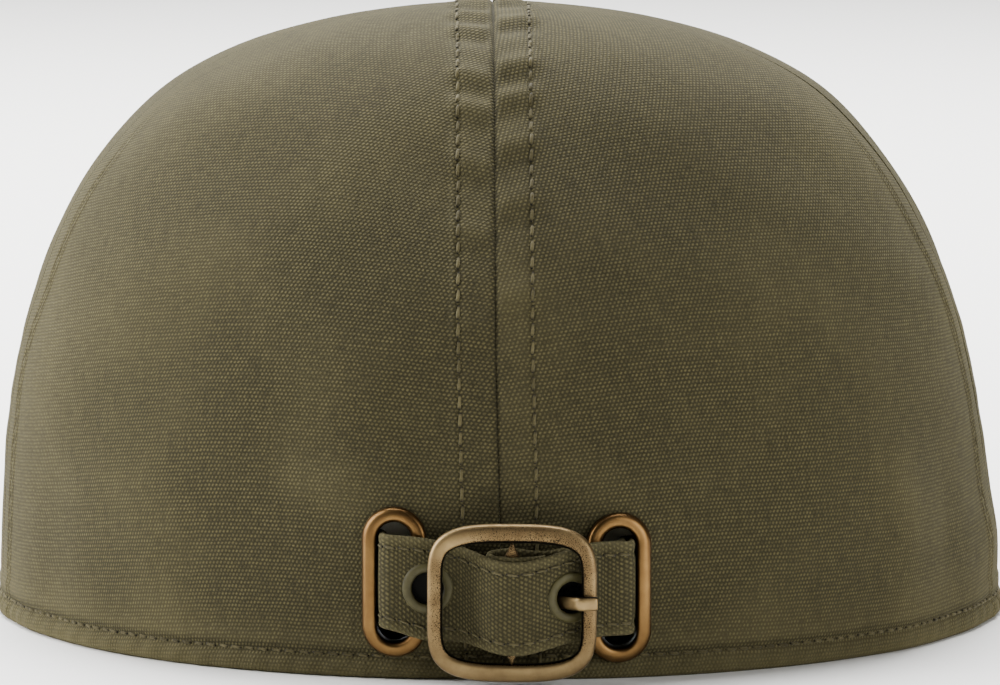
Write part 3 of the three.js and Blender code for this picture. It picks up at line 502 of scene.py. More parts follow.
def crown_panel(name, node, start, end, fine, coarse, grain=0.0, bend=0.0, bend_from=0.0):
    """One panel as a closed shell between two seams: the cloth outside, a wall's thickness in inside,
    the lower edge a quarter circle. Its flat pattern is turned by the grain's angle and bowed by bend
    times the square of the distance across, from bend_from on, to the side that bend's sign gives."""
    angles = panel_grid(start, end, fine, coarse)
    t_rows = np.concatenate([graded(0.06, 0.0032, 0.0085, 0.985, 1.12), [0.991, 0.996, 1.0]])
    angle, t = np.meshgrid(angles, t_rows, indexing="ij")
    outer, normal, relief, height = cloth(angle, t)
    tuck = EDGE_ROUND - np.sqrt(np.maximum(EDGE_ROUND**2 - np.maximum(EDGE_ROUND - height, 0) ** 2, 0))
    outer = outer - normal * tuck[..., None]
    inner = crown(angle, t)[0] - normal * (PANEL_WALL - tuck)[..., None]
    inner[:, 0, 2] = outer[:, 0, 2]
    flat_angle, flat_t = np.meshgrid(np.linspace(start, end, 61), np.linspace(0, 1, 41), indexing="ij")
    flat = lay_flat(crown(flat_angle, flat_t)[0], (30, 20))
    pattern = between(flat, (angle - start) / (end - start) * 60, t * 40)
    c, s = math.cos(grain), math.sin(grain)
    pattern = pattern @ np.array([[c, s], [-s, c]])
    toward = np.maximum(math.copysign(1, bend) * pattern[..., 0] - bend_from, 0)
    pattern[..., 1] -= abs(bend) * toward**2
    wear_and_shade = 0.12 * np.clip(relief, 0, 1.2) + 0.25 * bell(height, 0.6, 0.9) + 0.14 * (1 - smooth(4, 16, height))
    # Painted shade: darker in the channel above the hem stitch row and in the groove of the centre-back seam.
    wear_and_shade = wear_and_shade - 0.2 * bell(height, HEM_STITCH + 0.6, 0.7)
    wear_and_shade = wear_and_shade - 0.4 * bell(off_seam(angle, t, BACK_SEAM)[0], 0, 0.3)
    vertices = np.vstack([outer.reshape(-1, 3), inner.reshape(-1, 3)])
    return finish_mesh(name, vertices, shell_faces(*angle.shape), olive_canvas, [node],
                       uv=np.vstack([pattern.reshape(-1, 2)] * 2),
                       wear_and_shade=np.concatenate([wear_and_shade.ravel(), np.zeros(wear_and_shade.size)]))


back_left = crown_panel("canvas_back_left", "back_panel_left", BACK_SEAM, SIDE_SEAM, 0.28, 0.9,
                        grain=math.radians(4), bend=0.0019)
back_right = crown_panel("canvas_back_right", "back_panel_right", -SIDE_SEAM, BACK_SEAM, 0.28, 0.9,
                         grain=math.radians(-3), bend=-0.0023, bend_from=-12)
crown_panel("canvas_front", "front_panel", SIDE_SEAM, 2 * math.pi - SIDE_SEAM, 0.35, 1.25)

# Topstitching
# Olive cotton-wrapped thread, machine sewn in a lockstitch at 3.2 mm: a row at both sides of each
# seam, 6.3 mm off, which holds the pressed allowance, and a row of 2.75 mm stitches round the hem.

THREAD_RADIUS = 0.31
STITCH_GAP = 0.35
STITCH_SLANT = 0.12
STITCH_SECTIONS = 9
STITCH_AROUND = 6
SIDE_SINK, TOP_SINK = 0.08, 0.35


def tube_faces(count, around, closed):
    """Faces of a tube of sections, joined end to end or capped."""
    i, j = np.meshgrid(np.arange(count if closed else count - 1), np.arange(around), indexing="ij")
    a, b = i * around + j, i * around + (j + 1) % around
    c, d = ((i + 1) % count) * around + (j + 1) % around, ((i + 1) % count) * around + j
    faces = np.stack([a, b, c, d], -1).reshape(-1, 4).tolist()
    if not closed:
        faces += [list(range(around))[::-1], [(count - 1) * around + k for k in range(around)]]
    return faces


stitch_share = np.linspace(0, 1, STITCH_SECTIONS)
STITCH_ARCH = 1 - np.abs(2 * stitch_share - 1) ** 4


def stitches(points, normals, pitch, radius, gap):
    """Rings of the stitches along a path: each is a short round thread whose ends dip into the cloth,
    its height a fourth-power arch of the share of its length, and it slants a little."""
    lengths = path_lengths(points)
    count = max(int(lengths[-1] / pitch), 1)
    places = (np.arange(count)[:, None] + 0.5) * pitch + (stitch_share - 0.5) * (pitch - gap)
    centre = np.stack([np.interp(places, lengths, points[:, k]) for k in range(3)], -1)
    up = unit(np.stack([np.interp(places, lengths, normals[:, k]) for k in range(3)], -1))
    side = unit(np.cross(up, unit(np.gradient(centre, axis=1))))
    centre = centre + up * (radius * (1.15 * STITCH_ARCH - 0.8))[:, None]
    centre = centre + side * (STITCH_SLANT * (1 - 2 * stitch_share))[:, None]
    turn = np.linspace(0, 2 * math.pi, STITCH_AROUND, endpoint=False)[:, None]
    ring = side[:, :, None] * np.cos(turn) + up[:, :, None] * np.sin(turn)
    return (centre[:, :, None] + ring * (radius * (0.7 + 0.3 * STITCH_ARCH))[:, None, None]).reshape(-1, 3)


def stitch_piece(name, paths, radius=THREAD_RADIUS, gap=STITCH_GAP):
    """Joins the stitches of several paths, each given as points, normals and pitch, into one piece."""
    vertices = np.vstack([stitches(*path, radius, gap) for path in paths])
    starts = range(0, len(vertices), STITCH_SECTIONS * STITCH_AROUND)
    one = tube_faces(STITCH_SECTIONS, STITCH_AROUND, False)
    faces = [[corner + start for corner in face] for start in starts for face in one]
    wear_and_shade = np.tile(np.repeat(STITCH_ARCH, STITCH_AROUND), len(starts))
    return finish_mesh(name, vertices, faces, olive_thread, wear_and_shade=wear_and_shade)


def solve(function, low, high):
    """The place between two arrays where a rising function is zero, by halving."""
    for _ in range(36):
        middle = (low + high) / 2
        above = function(middle) > 0
        low, high = np.where(above, low, middle), np.where(above, middle, high)
    return (low + high) / 2


def seam_row(seam, side, top):
    """A row beside a seam: for each height, the angle at which the offset from the seam is right. The
    side seams' rows lie in the cloth, and deeper toward the top."""
    t = np.linspace(0.012, top, 500)
    base = np.full(len(t), float(seam))
    far = base + side * math.radians(75)
    low, high = (base, far) if side > 0 else (far, base)
    rising = np.sign(off_seam(base + 0.02, t, seam)[0][0])

    def short_of_row(angle):
        return rising * off_seam(angle, t, seam)[0] - side * STITCH_OFFSET

    point, normal, _, _ = cloth(solve(short_of_row, low, high), t)
    if seam != BACK_SEAM:
        up = np.interp(t, rows_up, SEAM_LENGTHS[seam])
        point = point - normal * (SIDE_SINK + TOP_SINK * smooth(75, 110, up))[:, None]
    return point, normal, STITCH_PITCH


def thread_material(name, hole_hex, low_hex, high_hex):
    """Twisted cotton-wrapped thread: matt, with fine light and dark turns along it, and in shadow
    where it dips into its needle holes."""
    material, tree = blank_material(name)
    place = add_node(tree, "ShaderNodeTexCoord").outputs["Object"]
    turns = add_node(tree, NOISE, {"Vector": place, "Scale": 3200.0, "Detail": 2.0})
    cloud = add_node(tree, NOISE, {"Vector": place, "Scale": 90.0, "Detail": 1.0})
    both = add_node(tree, MATH, {0: turns, 1: 0.6, 2: cloud}, operation="MULTIPLY_ADD")
    share = add_node(tree, MAP_RANGE, {"Value": both, "From Min": 0.5, "From Max": 1.1})
    colour = add_node(tree, MIX, {"Factor": share, "A": to_linear(low_hex), "B": to_linear(high_hex)},
                      data_type="RGBA")
    arch = add_node(tree, ATTRIBUTE, attribute_name="wear_and_shade").outputs["Fac"]
    seen = add_node(tree, MAP_RANGE, {"Value": arch, "From Min": 0.4, "From Max": 0.95})
    dipped = add_node(tree, MIX, {"Factor": seen, "A": to_linear(hole_hex), "B": colour}, data_type="RGBA")
    bump = add_node(tree, BUMP, {"Height": turns, "Strength": 0.5, "Distance": 0.0001})
    cotton = add_node(tree, PRINCIPLED, {"Base Color": dipped, "Normal": bump, "Roughness": 0.85, "IOR": 1.45,
                                         "Specular IOR Level": 0.2, "Sheen Weight": 0.06})
    add_node(tree, OUTPUT, {"Surface": cotton})
    return material


olive_thread = thread_material("olive_cotton_thread", "#0d0b06", "#39341f", "#5d5639")

ROWS_TOP = 0.972
seam_paths = [seam_row(seam, side, ROWS_TOP) for seam in SEAMS for side in (-1, 1)]
row_angles = np.radians(np.linspace(-180, 180, 1600))
row_t = solve(lambda t: smooth_crown(row_angles, t)[..., 2] - hem_height(row_angles) - HEM_STITCH,
              np.zeros(len(row_angles)), np.full(len(row_angles), 0.2))
hem_points, hem_normals, _, _ = cloth(row_angles, row_t)
stitch_piece("crown_topstitching", seam_paths[:2])
stitch_piece("side_topstitching", seam_paths[2:], radius=0.2, gap=0.9)
stitch_piece("hem_topstitching", [(hem_points, hem_normals, HEM_PITCH)], radius=0.26, gap=0.5)

# Peak
# A board of stiff felt covered with the same canvas, sewn in under the front edge of the crown.
# One row of topstitching follows its rim.

PEAK_REACH = 50.0
PEAK_SIDE_REACH = 1.2
PEAK_THICKNESS = 3.0
PEAK_HALF = math.radians(62)
PEAK_ARCH = 12.0
PEAK_CROWN = 1.1
PEAK_FLOOR_GAP = 0.3
PEAK_INSIDE = 0.3
PEAK_STITCH = 5.0
PEAK_PITCH = 3.0
RIM_START = 0.97


def peak_reach(u):
    """How far the rim lies ahead of the crown: a power of one minus the squared share across."""
    return PEAK_SIDE_REACH + PEAK_REACH * np.maximum(1 - u * u, 0) ** 0.72


def peak_top(u, v):
    """The peak's upper face, from inside the crown's front edge out to its rim, arched over the middle
    by a power of the share across and crowned by a sine outward. u goes across and v outward."""
    angle = math.pi - u * PEAK_HALF
    hem_x, hem_y = hem_plan(angle)
    out = unit(np.stack([hem_x / HALF_WIDTH**2, hem_y / FRONT_DEPTH**2], -1))
    ahead = unit(out * 0.55 + np.array([0, -0.45]))
    reach = peak_reach(u)
    inside = hem_height(angle) - PEAK_INSIDE
    outside = np.minimum(PEAK_THICKNESS + PEAK_FLOOR_GAP + PEAK_ARCH * (1 - np.abs(u) ** 1.6), inside)
    x = hem_x - out[..., 0] * PANEL_WALL * (1 - v) + ahead[..., 0] * reach * v
    y = hem_y - out[..., 1] * PANEL_WALL * (1 - v) + ahead[..., 1] * reach * v
    z = inside + (outside - inside) * v + PEAK_CROWN * np.sin(math.pi * v) * (1 - u * u)
    return np.stack([x, y, z], -1)


def tube_piece(name, rings, closed, material, replaces=(), uv=None, wear_and_shade=None):
    """A piece made of a row of rings, joined end to end or capped."""
    faces = tube_faces(*rings.shape[:2], closed)
    return finish_mesh(name, rings.reshape(-1, 3), faces, material, replaces, uv, wear_and_shade)


rim_round = np.linspace(math.pi / 2, -math.pi / 2, 9)
u_rows = np.sin(np.linspace(-math.pi / 2, math.pi / 2, 221)) * 0.9995
u, v = np.meshgrid(u_rows, np.linspace(0, RIM_START, 60), indexing="ij")
top = peak_top(u, v)
off_rim = (1 - v) * peak_reach(u)
top[..., 2] += 0.25 * bell(off_rim, 2.5, 1.6) - 0.22 * bell(off_rim, PEAK_STITCH, 0.6)
top[..., 2] += 0.08 * np.sin(9 * u + 7 * v) * np.sin(11 * v)
u_edge, rim_turn = np.meshgrid(u_rows, rim_round, indexing="ij")
edge = peak_top(u_edge, np.full_like(u_edge, RIM_START))
rim = peak_top(u_edge, np.ones_like(u_edge))
edge = edge + (rim - edge) * np.cos(rim_turn)[..., None]
edge[..., 2] += PEAK_THICKNESS / 2 * (np.sin(rim_turn) - 1)
bottom = peak_top(u, v[:, ::-1])
bottom[..., 2] -= PEAK_THICKNESS
peak_rings = np.concatenate([top, edge, bottom], 1)
peak_rub = np.concatenate([0.3 * bell(off_rim, 1.5, 2.0), np.full(u_edge.shape, 0.35), np.zeros(u.shape)], 1)
tube_piece("canvas_peak", peak_rings, False, olive_canvas, ["peak"],
           uv=peak_rings[..., :2].reshape(-1, 2), wear_and_shade=peak_rub.ravel())

row_u = np.sin(np.linspace(-math.pi / 2, math.pi / 2, 500)) * 0.93
rim_row = peak_top(row_u, 1 - PEAK_STITCH / peak_reach(row_u))
rim_row[:, 2] -= 0.15
upward = np.tile([0.0, 0.0, 1.0], (len(rim_row), 1))
stitch_piece("peak_topstitching", [(rim_row, upward, PEAK_PITCH)])

# Oblong eyelets
# Two brass rings, pressed from strip with a rounded face and clenched through the canvas, so the
# strap can pass in and out. Warm antique plating, polished by wear on the crest.

RING_SPACING = 38.1
RINGS_X = -1.15
RING_HEIGHTS = (16.8, 15.7)
STRAP_HEIGHTS = (17.3, 16.2)
RING_WIDTH = 11.0
RING_TALL = 25.7
RING_WIRE = 2.6
RING_CREST = 1.8
RING_BARREL = 0.6
BACK_ROUND = HALF_WIDTH**2 / BACK_DEPTH
BACK_REACH = 76
BACK_LOW, BACK_TOP = 0.5, 46
SLIGHT = 1e-4

# The crown's depth and level direction at each whole millimetre across and half millimetre up behind.
# Newton's steps find the angle and t of each.
back_x, back_z = np.meshgrid(np.linspace(-BACK_REACH, BACK_REACH, 2 * BACK_REACH + 1),
                             np.linspace(BACK_LOW, BACK_TOP, 92), indexing="ij")
back_angle, back_t = np.arcsin(back_x / HALF_WIDTH), back_z / CROWN_HEIGHT * 0.7
for _ in range(7):
    here = crown(back_angle, back_t)[0]
    round_step = (crown(back_angle + SLIGHT, back_t)[0] - here) / SLIGHT
    rise_step = (crown(back_angle, back_t + SLIGHT)[0] - here) / SLIGHT
    miss_x, miss_z = back_x - here[..., 0], back_z - here[..., 2]
    scale = round_step[..., 0] * rise_step[..., 2] - rise_step[..., 0] * round_step[..., 2]
    back_angle = back_angle + (miss_x * rise_step[..., 2] - miss_z * rise_step[..., 0]) / scale
    rise = (round_step[..., 0] * miss_z - round_step[..., 2] * miss_x) / scale
    back_t = np.clip(back_t + rise, 0, 0.9)
back_place, back_normal = crown(back_angle, back_t)
BACK = np.concatenate([back_place[..., 1:2], unit(back_normal[..., :2])], -1)


def on_back(x, stand, z):
    """Place behind the crown for a distance across, a stand-off from the cloth and a height. The foot
    lies closer to the middle than x in proportion to the back's round; the stand-off is level."""
    foot = x * BACK_ROUND / (BACK_ROUND + stand)
    i = np.clip(foot + BACK_REACH, 0, 2 * BACK_REACH)
    found = between(BACK, i, np.clip((z - BACK_LOW) * 2, 0, BACK.shape[1] - 1))
    return np.stack([foot + found[..., 1] * stand, found[..., 0] + found[..., 2] * stand, z + 0 * foot], -1)


def brass_material(name, dark_hex, body_hex, bright_hex, rough, speckle, pit):
    """Cast or pressed brass with an antique finish: a metal whose plating is bright where it is rubbed,
    dull between, and speckled nearly black in the grain that the polish has missed. The same mixes also carry
    the painted highlight and the painted shade that a piece puts into its worn places."""
    material, tree = blank_material(name)
    place = add_node(tree, "ShaderNodeTexCoord").outputs["Object"]
    wear_and_shade = add_node(tree, ATTRIBUTE, attribute_name="wear_and_shade").outputs["Fac"]
    cloud = add_node(tree, NOISE, {"Vector": place, "Scale": 260.0, "Detail": 4.0, "Roughness": 0.65})
    grain = add_node(tree, NOISE, {"Vector": place, "Scale": 6000.0, "Detail": 3.0, "Roughness": 0.6})
    bright = add_node(tree, MATH, {0: cloud, 1: wear_and_shade}, operation="ADD")
    polish_and_highlight = add_node(tree, MAP_RANGE, {"Value": bright, "From Min": 0.55, "From Max": 1.35})
    metal = add_node(tree, MIX, {"Factor": polish_and_highlight, "A": to_linear(body_hex), "B": to_linear(bright_hex)},
                     data_type="RGBA")
    spot = add_node(tree, MATH, {0: grain, 1: wear_and_shade}, operation="ADD")
    tarnish_and_shade = add_node(tree, MAP_RANGE, {"Value": spot, "From Min": speckle - 0.05, "From Max": speckle + 0.04,
                                         "To Min": 1.0, "To Max": 0.0})
    colour = add_node(tree, MIX, {"Factor": tarnish_and_shade, "A": metal, "B": to_linear(dark_hex)}, data_type="RGBA")
    dull = add_node(tree, MAP_RANGE, {"Value": bright, "From Min": 0.4, "From Max": 1.4,
                                      "To Min": rough + 0.14, "To Max": rough - 0.06})
    bump = add_node(tree, BUMP, {"Height": grain, "Strength": pit, "Distance": 0.00012})
    brass = add_node(tree, PRINCIPLED, {"Base Color": colour, "Roughness": dull, "Normal": bump,
                                        "Metallic": 1.0})
    add_node(tree, OUTPUT, {"Surface": brass})
    return material


coppery_brass = brass_material("coppery_antique_brass", "#120c07", "#573d22", "#7b6039", 0.33, 0.42, 0.2)


def oblong(half_width, straight, steps):
    """Points and outward directions round an oblong: half circles joined by straight sides."""
    arc = np.linspace(0, math.pi, steps)
    side = np.linspace(1, -1, steps)[1:-1]
    round_end = np.stack([np.cos(arc), np.sin(arc)], -1)
    out = np.concatenate([round_end, np.tile([-1.0, 0.0], (len(side), 1)),
                          -round_end, np.tile([1.0, 0.0], (len(side), 1))])
    middle = straight * np.concatenate([np.ones(steps), side, -np.ones(steps), -side])
    return half_width * out[:, 0], middle + half_width * out[:, 1], out


def signed_power(value, exponent):
    """A value's size to a power, with its sign kept; it makes a superellipse of a cosine and a sine."""
    return np.sign(value) * np.abs(value) ** exponent


RING_FOOT = 0.1
CLENCH_GAP = 0.3
CLENCH_THICK = 0.5
SLOT_CUT = (3.0, -4.0)
# The cuts' faces take this value, which paints them nearly black: painted shade.
CUT_SHADE = -1.2
face_turn = np.linspace(0, math.pi, 19)
half_wire = RING_WIRE / 2
bead_out = half_wire * signed_power(np.cos(face_turn), 0.75)
bead_stand = -RING_FOOT + (RING_CREST + RING_FOOT) * np.sin(face_turn) ** 0.6
behind = -PANEL_WALL - CLENCH_GAP
barrel = RING_BARREL - half_wire
ring_out = np.concatenate([bead_out, [-half_wire, half_wire * 0.6, half_wire * 0.6, barrel, barrel]])
clench = behind - CLENCH_THICK
ring_stand = np.concatenate([bead_stand, [clench, clench, behind, behind, -RING_FOOT]])
crest_rub = 0.1 + 0.36 * np.sin(face_turn) - 0.5 * smooth(0.55, 1, -np.cos(face_turn))
ring_rub = np.concatenate([crest_rub, np.full(5, -0.4)])
RING_CENTRES = {"left": (RINGS_X + RING_SPACING / 2, RING_HEIGHTS[0]),
                "right": (RINGS_X - RING_SPACING / 2, RING_HEIGHTS[1])}
for side, (ring_x, ring_z) in RING_CENTRES.items():
    round_x, round_z, out = oblong((RING_WIDTH - RING_WIRE) / 2, (RING_TALL - RING_WIDTH) / 2, 30)
    ring_across = ring_x + round_x[:, None] + out[:, 0:1] * ring_out
    ring_height = ring_z + round_z[:, None] + out[:, 1:2] * ring_out
    tube_piece("eyelet_ring_" + side, on_back(ring_across, ring_stand, ring_height), True,
               coppery_brass, ["slot_ring_" + side], wear_and_shade=np.tile(ring_rub, len(round_x)))


def punch(piece, cutters):
    """Cuts closed shapes, given as vertices and faces, out of a finished piece. The cut is painted nearly
    black, as painted shade.
    """
    made = []
    for vertices, faces in cutters:
        painted_shade = np.full(vertices[..., 0].size, CUT_SHADE)
        cutter = place_object("punch", solid_mesh("punch", vertices.reshape(-1, 3), faces, painted_shade))
        cut = piece.modifiers.new("hole", "BOOLEAN")
        cut.operation, cut.object, cut.solver = "DIFFERENCE", cutter, "MANIFOLD"
        made.append(cutter)
    bpy.context.view_layer.update()
    cut_mesh = bpy.data.meshes.new_from_object(piece.evaluated_get(bpy.context.evaluated_depsgraph_get()))
    piece.modifiers.clear()
    piece.data = cut_mesh
    for cutter in made:
        bpy.data.objects.remove(cutter)


for side, piece in (("left", back_left), ("right", back_right)):
    ring_x, ring_z = RING_CENTRES[side]
    slot_x, slot_z, _ = oblong(RING_WIDTH / 2 - RING_WIRE + RING_BARREL, (RING_TALL - RING_WIDTH) / 2, 16)
    slot = [on_back(ring_x + slot_x, stand, ring_z + slot_z) for stand in SLOT_CUT]
    punch(piece, [(np.stack(slot), tube_faces(2, len(slot_x), False))])

# Straps
# Strips of the same canvas, folded lengthwise with the raw edges inside and stitched along both
# edges. The short one is looped round the buckle's centre bar; the long one comes from the other
# eyelet, lies over the loop and under the buckle's sides, and tucks into the far eyelet.

STRAP_WIDTH = 16.0
STRAP_HALF = 0.62
STRAP_SAG = 3.2
STRAP_TAIL = 38.0
BUCKLE_X = -2.0
BUCKLE_Z = 14.3
BUCKLE_WIDTH = 28.6
BUCKLE_TALL = 27.0
SIDE_BAR = 2.6
END_BAR = 3.2
INSIDE_LEVEL = -3.3
OVER_RING = 2.7
LONG_LEFT = 3.3
LONG_RIGHT = 4.2
LEFT_BAR = 6.0
RIGHT_BAR = 8.2
CENTRE_LEVEL = 5.1
LOOP_RADIUS = 2.2
LOOP_WIDE = 3.8
LOOP_TAIL = 5.6
LAYER = 1.5
CREST = 8.8
CLIMB = 2.0
STRAP_STEP = 0.45
STRAP_COLUMNS = 44
STRAP_RIPPLE = 0.05
STRAP_EDGE_STITCH = 2.1
EYELET_X = 0.15
EYELET_APART = 24.1
EYELET_HEIGHTS = (16.4, 15.2)
EYELET_REACH = 4.65
FLARE_X = 12.5
STRAP_FLARE = 1.5


def rounded_route(corners, step):
    """A path of straight runs whose corners are arcs of the radius given with each, in even steps."""
    places = [np.array(corners[0][:2], float)]
    for k in range(1, len(corners)):
        here, last = np.array(corners[k][:2], float), places[-1]
        along = unit(here - last)
        turn, cut, radius = 0.0, 0.0, 0.0
        if k < len(corners) - 1:
            follow = unit(np.array(corners[k + 1][:2], float) - here)
            radius = corners[k][2]
            turn = math.atan2(along[0] * follow[1] - along[1] * follow[0], along @ follow)
            cut = radius * math.tan(abs(turn) / 2)
        stop = here - along * cut
        pieces = max(1, round(float(np.linalg.norm(stop - last)) / step))
        places += [last + (stop - last) * share for share in np.linspace(0, 1, pieces + 1)[1:]]
        if turn:
            sign = math.copysign(1, turn)
            centre = stop + np.array([-along[1], along[0]]) * sign * radius
            arc = np.linspace(0, turn, max(2, math.ceil(abs(turn) * radius / step) + 1))[1:]
            spoke = stop - centre
            places += [centre + np.array([spoke[0] * math.cos(a) - spoke[1] * math.sin(a),
                                          spoke[0] * math.sin(a) + spoke[1] * math.cos(a)]) for a in arc]
    return np.array(places)


def strap_middle(x):
    """Height of a strap's middle: the line between the two rings less a bell-shaped sag at the bar."""
    share = (x - right_ring) / RING_SPACING
    line = STRAP_HEIGHTS[1] + (STRAP_HEIGHTS[0] - STRAP_HEIGHTS[1]) * share
    return line - STRAP_SAG * bell(x, BUCKLE_X, RING_SPACING / 4)


def strap_section(half_width, half_thick):
    """Offsets through and across a folded strap: flat faces with half-round edges, puffed between the
    stitch rows and drawn in at them."""
    straight = half_width - half_thick
    flat = np.linspace(-straight, straight, STRAP_COLUMNS)
    stitched = bell(np.abs(flat), STRAP_WIDTH / 2 - STRAP_EDGE_STITCH, 0.55)
    face = half_thick + 0.1 * (1 - (flat / half_width) ** 2) - 0.2 * stitched
    edge = np.linspace(math.pi / 2, -math.pi / 2, 9)[1:-1]
    rise, out = half_thick * np.sin(edge), straight + half_thick * np.cos(edge)
    return np.concatenate([face, rise, -face[::-1], -rise]), np.concatenate([flat, out, flat[::-1], -out])


def flare_share(x, across):
    """Share of the flare that a place on the strap has: a bell beside the left side bar, for the lower
    half only, growing toward the edge."""
    return bell(x, FLARE_X, 5.0) * smooth(0, 1, -across / STRAP_WIDTH * 2)


def beside(route, away):
    """Places at distances to the left of a route: how far across, and how far off the cloth."""
    along = unit(np.gradient(route, axis=0))
    return route[:, 0:1] - along[:, 1:2] * away, route[:, 1:2] + along[:, 0:1] * away


def round_bar(wide, high, turn):
    """Part of an ellipse round the centre bar, as places across and off the cloth."""
    return np.stack([BUCKLE_X + wide * np.cos(turn), CENTRE_LEVEL + high * np.sin(turn)], -1)


def strap_rings(route, raise_by=0.0, narrow=0.0, flare=0.0):
    """A strap's sections along its route, each point offset across the route and in height with a slow
    ripple of sines, and their flat pattern."""
    through, across = strap_section((STRAP_WIDTH - narrow) / 2, STRAP_HALF)
    lengths = path_lengths(route)[:, None]
    ripple = STRAP_RIPPLE * np.sin(lengths / 2.3) * np.sin(across / 3)
    x, level = beside(route, through)
    z = (strap_middle(route[:, 0]) + raise_by)[:, None] + across
    z = z - flare * flare_share(route[:, 0:1], across)
    pattern = np.stack([np.broadcast_to(across, x.shape), np.broadcast_to(lengths, x.shape)], -1)
    return on_back(x, level + ripple, z), pattern.reshape(-1, 2)


def strap_wear_and_shade(route):
    """Worn places of a strap's section: its rounded edges. Inside the crown it is painted dark, as painted
    shade.
    """
    _, across = strap_section(STRAP_WIDTH / 2, STRAP_HALF)
    inside = route[:, 1:2] < INSIDE_LEVEL + 1.5
    return (0.28 * bell(np.abs(across), STRAP_WIDTH / 2, 1.3) - 1.0 * inside).ravel()


left_ring, right_ring = RING_CENTRES["left"][0], RING_CENTRES["right"][0]
eyelet_x = {"left": EYELET_X + EYELET_APART / 2, "right": EYELET_X - EYELET_APART / 2}
long_route = rounded_route([
    (left_ring + STRAP_TAIL, INSIDE_LEVEL),
    (left_ring + CLIMB, INSIDE_LEVEL, 0.9),
    (left_ring + CLIMB, LONG_LEFT, 1.7),
    (eyelet_x["left"] - EYELET_REACH - 1.6, LONG_LEFT, 4.0),
    (BUCKLE_X + LOOP_RADIUS, CREST, 4.0),
    (BUCKLE_X - LOOP_RADIUS, CREST, 4.0),
    (eyelet_x["right"] - EYELET_REACH - 0.8, LONG_RIGHT, 2.0),
    (right_ring - CLIMB, LONG_RIGHT, 1.7),
    (right_ring - CLIMB, 0.3)], STRAP_STEP)
loop = round_bar(LOOP_WIDE, LOOP_RADIUS, np.linspace(-math.pi / 2, math.pi / 2, 17)[1:])
to_bar = rounded_route([
    (right_ring - STRAP_TAIL, INSIDE_LEVEL),
    (right_ring - CLIMB + LAYER, INSIDE_LEVEL, 0.9),
    (right_ring - CLIMB + LAYER, OVER_RING, 1.7),
    (BUCKLE_X - BUCKLE_WIDTH / 2 + SIDE_BAR, OVER_RING, 4.0),
    (BUCKLE_X - LOOP_RADIUS, CENTRE_LEVEL - LOOP_RADIUS, 4.0),
    (BUCKLE_X, CENTRE_LEVEL - LOOP_RADIUS)], STRAP_STEP)
turned_back = rounded_route([
    (BUCKLE_X, CENTRE_LEVEL + LOOP_RADIUS),
    (BUCKLE_X - LOOP_TAIL, CENTRE_LEVEL + LOOP_RADIUS - 0.75)], STRAP_STEP)[1:]
short_route = np.vstack([to_bar, loop, turned_back])

long_rings, long_pattern = strap_rings(long_route, flare=STRAP_FLARE)
long_strap = tube_piece("strap_over", long_rings, False, olive_canvas, ["strap_long"],
                        uv=long_pattern, wear_and_shade=strap_wear_and_shade(long_route))
near_bar = bell(short_route[:, 0], BUCKLE_X, 4.6)
under_bar = 1 - smooth(CENTRE_LEVEL - 1.2, CENTRE_LEVEL + 1.2, short_route[:, 1])
short_rings, short_pattern = strap_rings(short_route, 0.2 + near_bar * (0.75 + 0.95 * under_bar), narrow=0.4)
# Painted shade: the loop is painted dark round the right eyelet, where it shows through the hole.
off_eyelet = np.hypot(short_rings[..., 0] - eyelet_x["right"], short_rings[..., 2] - EYELET_HEIGHTS[1])
short_wear_and_shade = strap_wear_and_shade(short_route) - (1.3 * (1 - smooth(3.0, 4.6, off_eyelet))).ravel()
tube_piece("strap_loop", short_rings, False, olive_canvas, ["strap_short"],
           uv=short_pattern, wear_and_shade=short_wear_and_shade)

# Strap topstitching
# The same thread, machine sewn at 2.6 mm along both edges of the long strap, where it holds the
# folded edges together. It is made only where the strap is outside the crown.

STRAP_PITCH = 2.6
STRAP_LIFTS = np.array([STRAP_HALF - 0.05, STRAP_HALF + 0.45])
outside = (long_route[:, 1] > 1.0) & (long_route[:, 0] > right_ring - CLIMB + 0.1)
strap_paths = []
for edge_side in (-1, 1):
    edge_row = edge_side * (STRAP_WIDTH / 2 - STRAP_EDGE_STITCH)
    row_z = strap_middle(long_route[:, 0]) + edge_row - STRAP_FLARE * flare_share(long_route[:, 0], edge_row)
    lifted = on_back(*beside(long_route, -STRAP_LIFTS), row_z[:, None])[outside]
    strap_paths.append((lifted[:, 0], unit(lifted[:, 1] - lifted[:, 0]), STRAP_PITCH))
stitch_piece("strap_topstitching", strap_paths, radius=0.2)

# Round eyelets
# Two small steel eyelets, painted to match the cloth and clenched through the long strap. The
# tongue lies through the right one. The paint has a satin gloss and has worn along the rim.

EYELET_OUTER = 4.35
EYELET_INNER = 2.7
HOLE_TOP = 2.2
# The left hole stops short of the strap's back, and its floor is painted nearly black by the cut: painted
# shade.
HOLE_BOTTOMS = {"left": -0.3, "right": -2.2}


def strap_frame(x):
    """The long strap's level and direction where it passes a place across, outside the cloth."""
    shown = (long_route[:, 1] > 2.5) & (long_route[:, 0] > right_ring - 1)
    route = long_route[shown][::-1]
    level = np.interp(x, route[:, 0], route[:, 1])
    rise = np.interp([x - EYELET_INNER + 0.1, x + EYELET_INNER - 0.1], route[:, 0], route[:, 1])
    return level, unit(np.array([2 * (EYELET_INNER - 0.1), rise[1] - rise[0]]))


def round_piece(x, z, radius, stand, around=56):
    """Turns a profile of radii and stand-offs round a place on the long strap."""
    level, along = strap_frame(x)
    turn = np.linspace(0, 2 * math.pi, around, endpoint=False)[:, None]
    across = radius * np.cos(turn)
    return on_back(x + along[0] * across - along[1] * stand, level + along[1] * across + along[0] * stand,
                   z + radius * np.sin(turn))


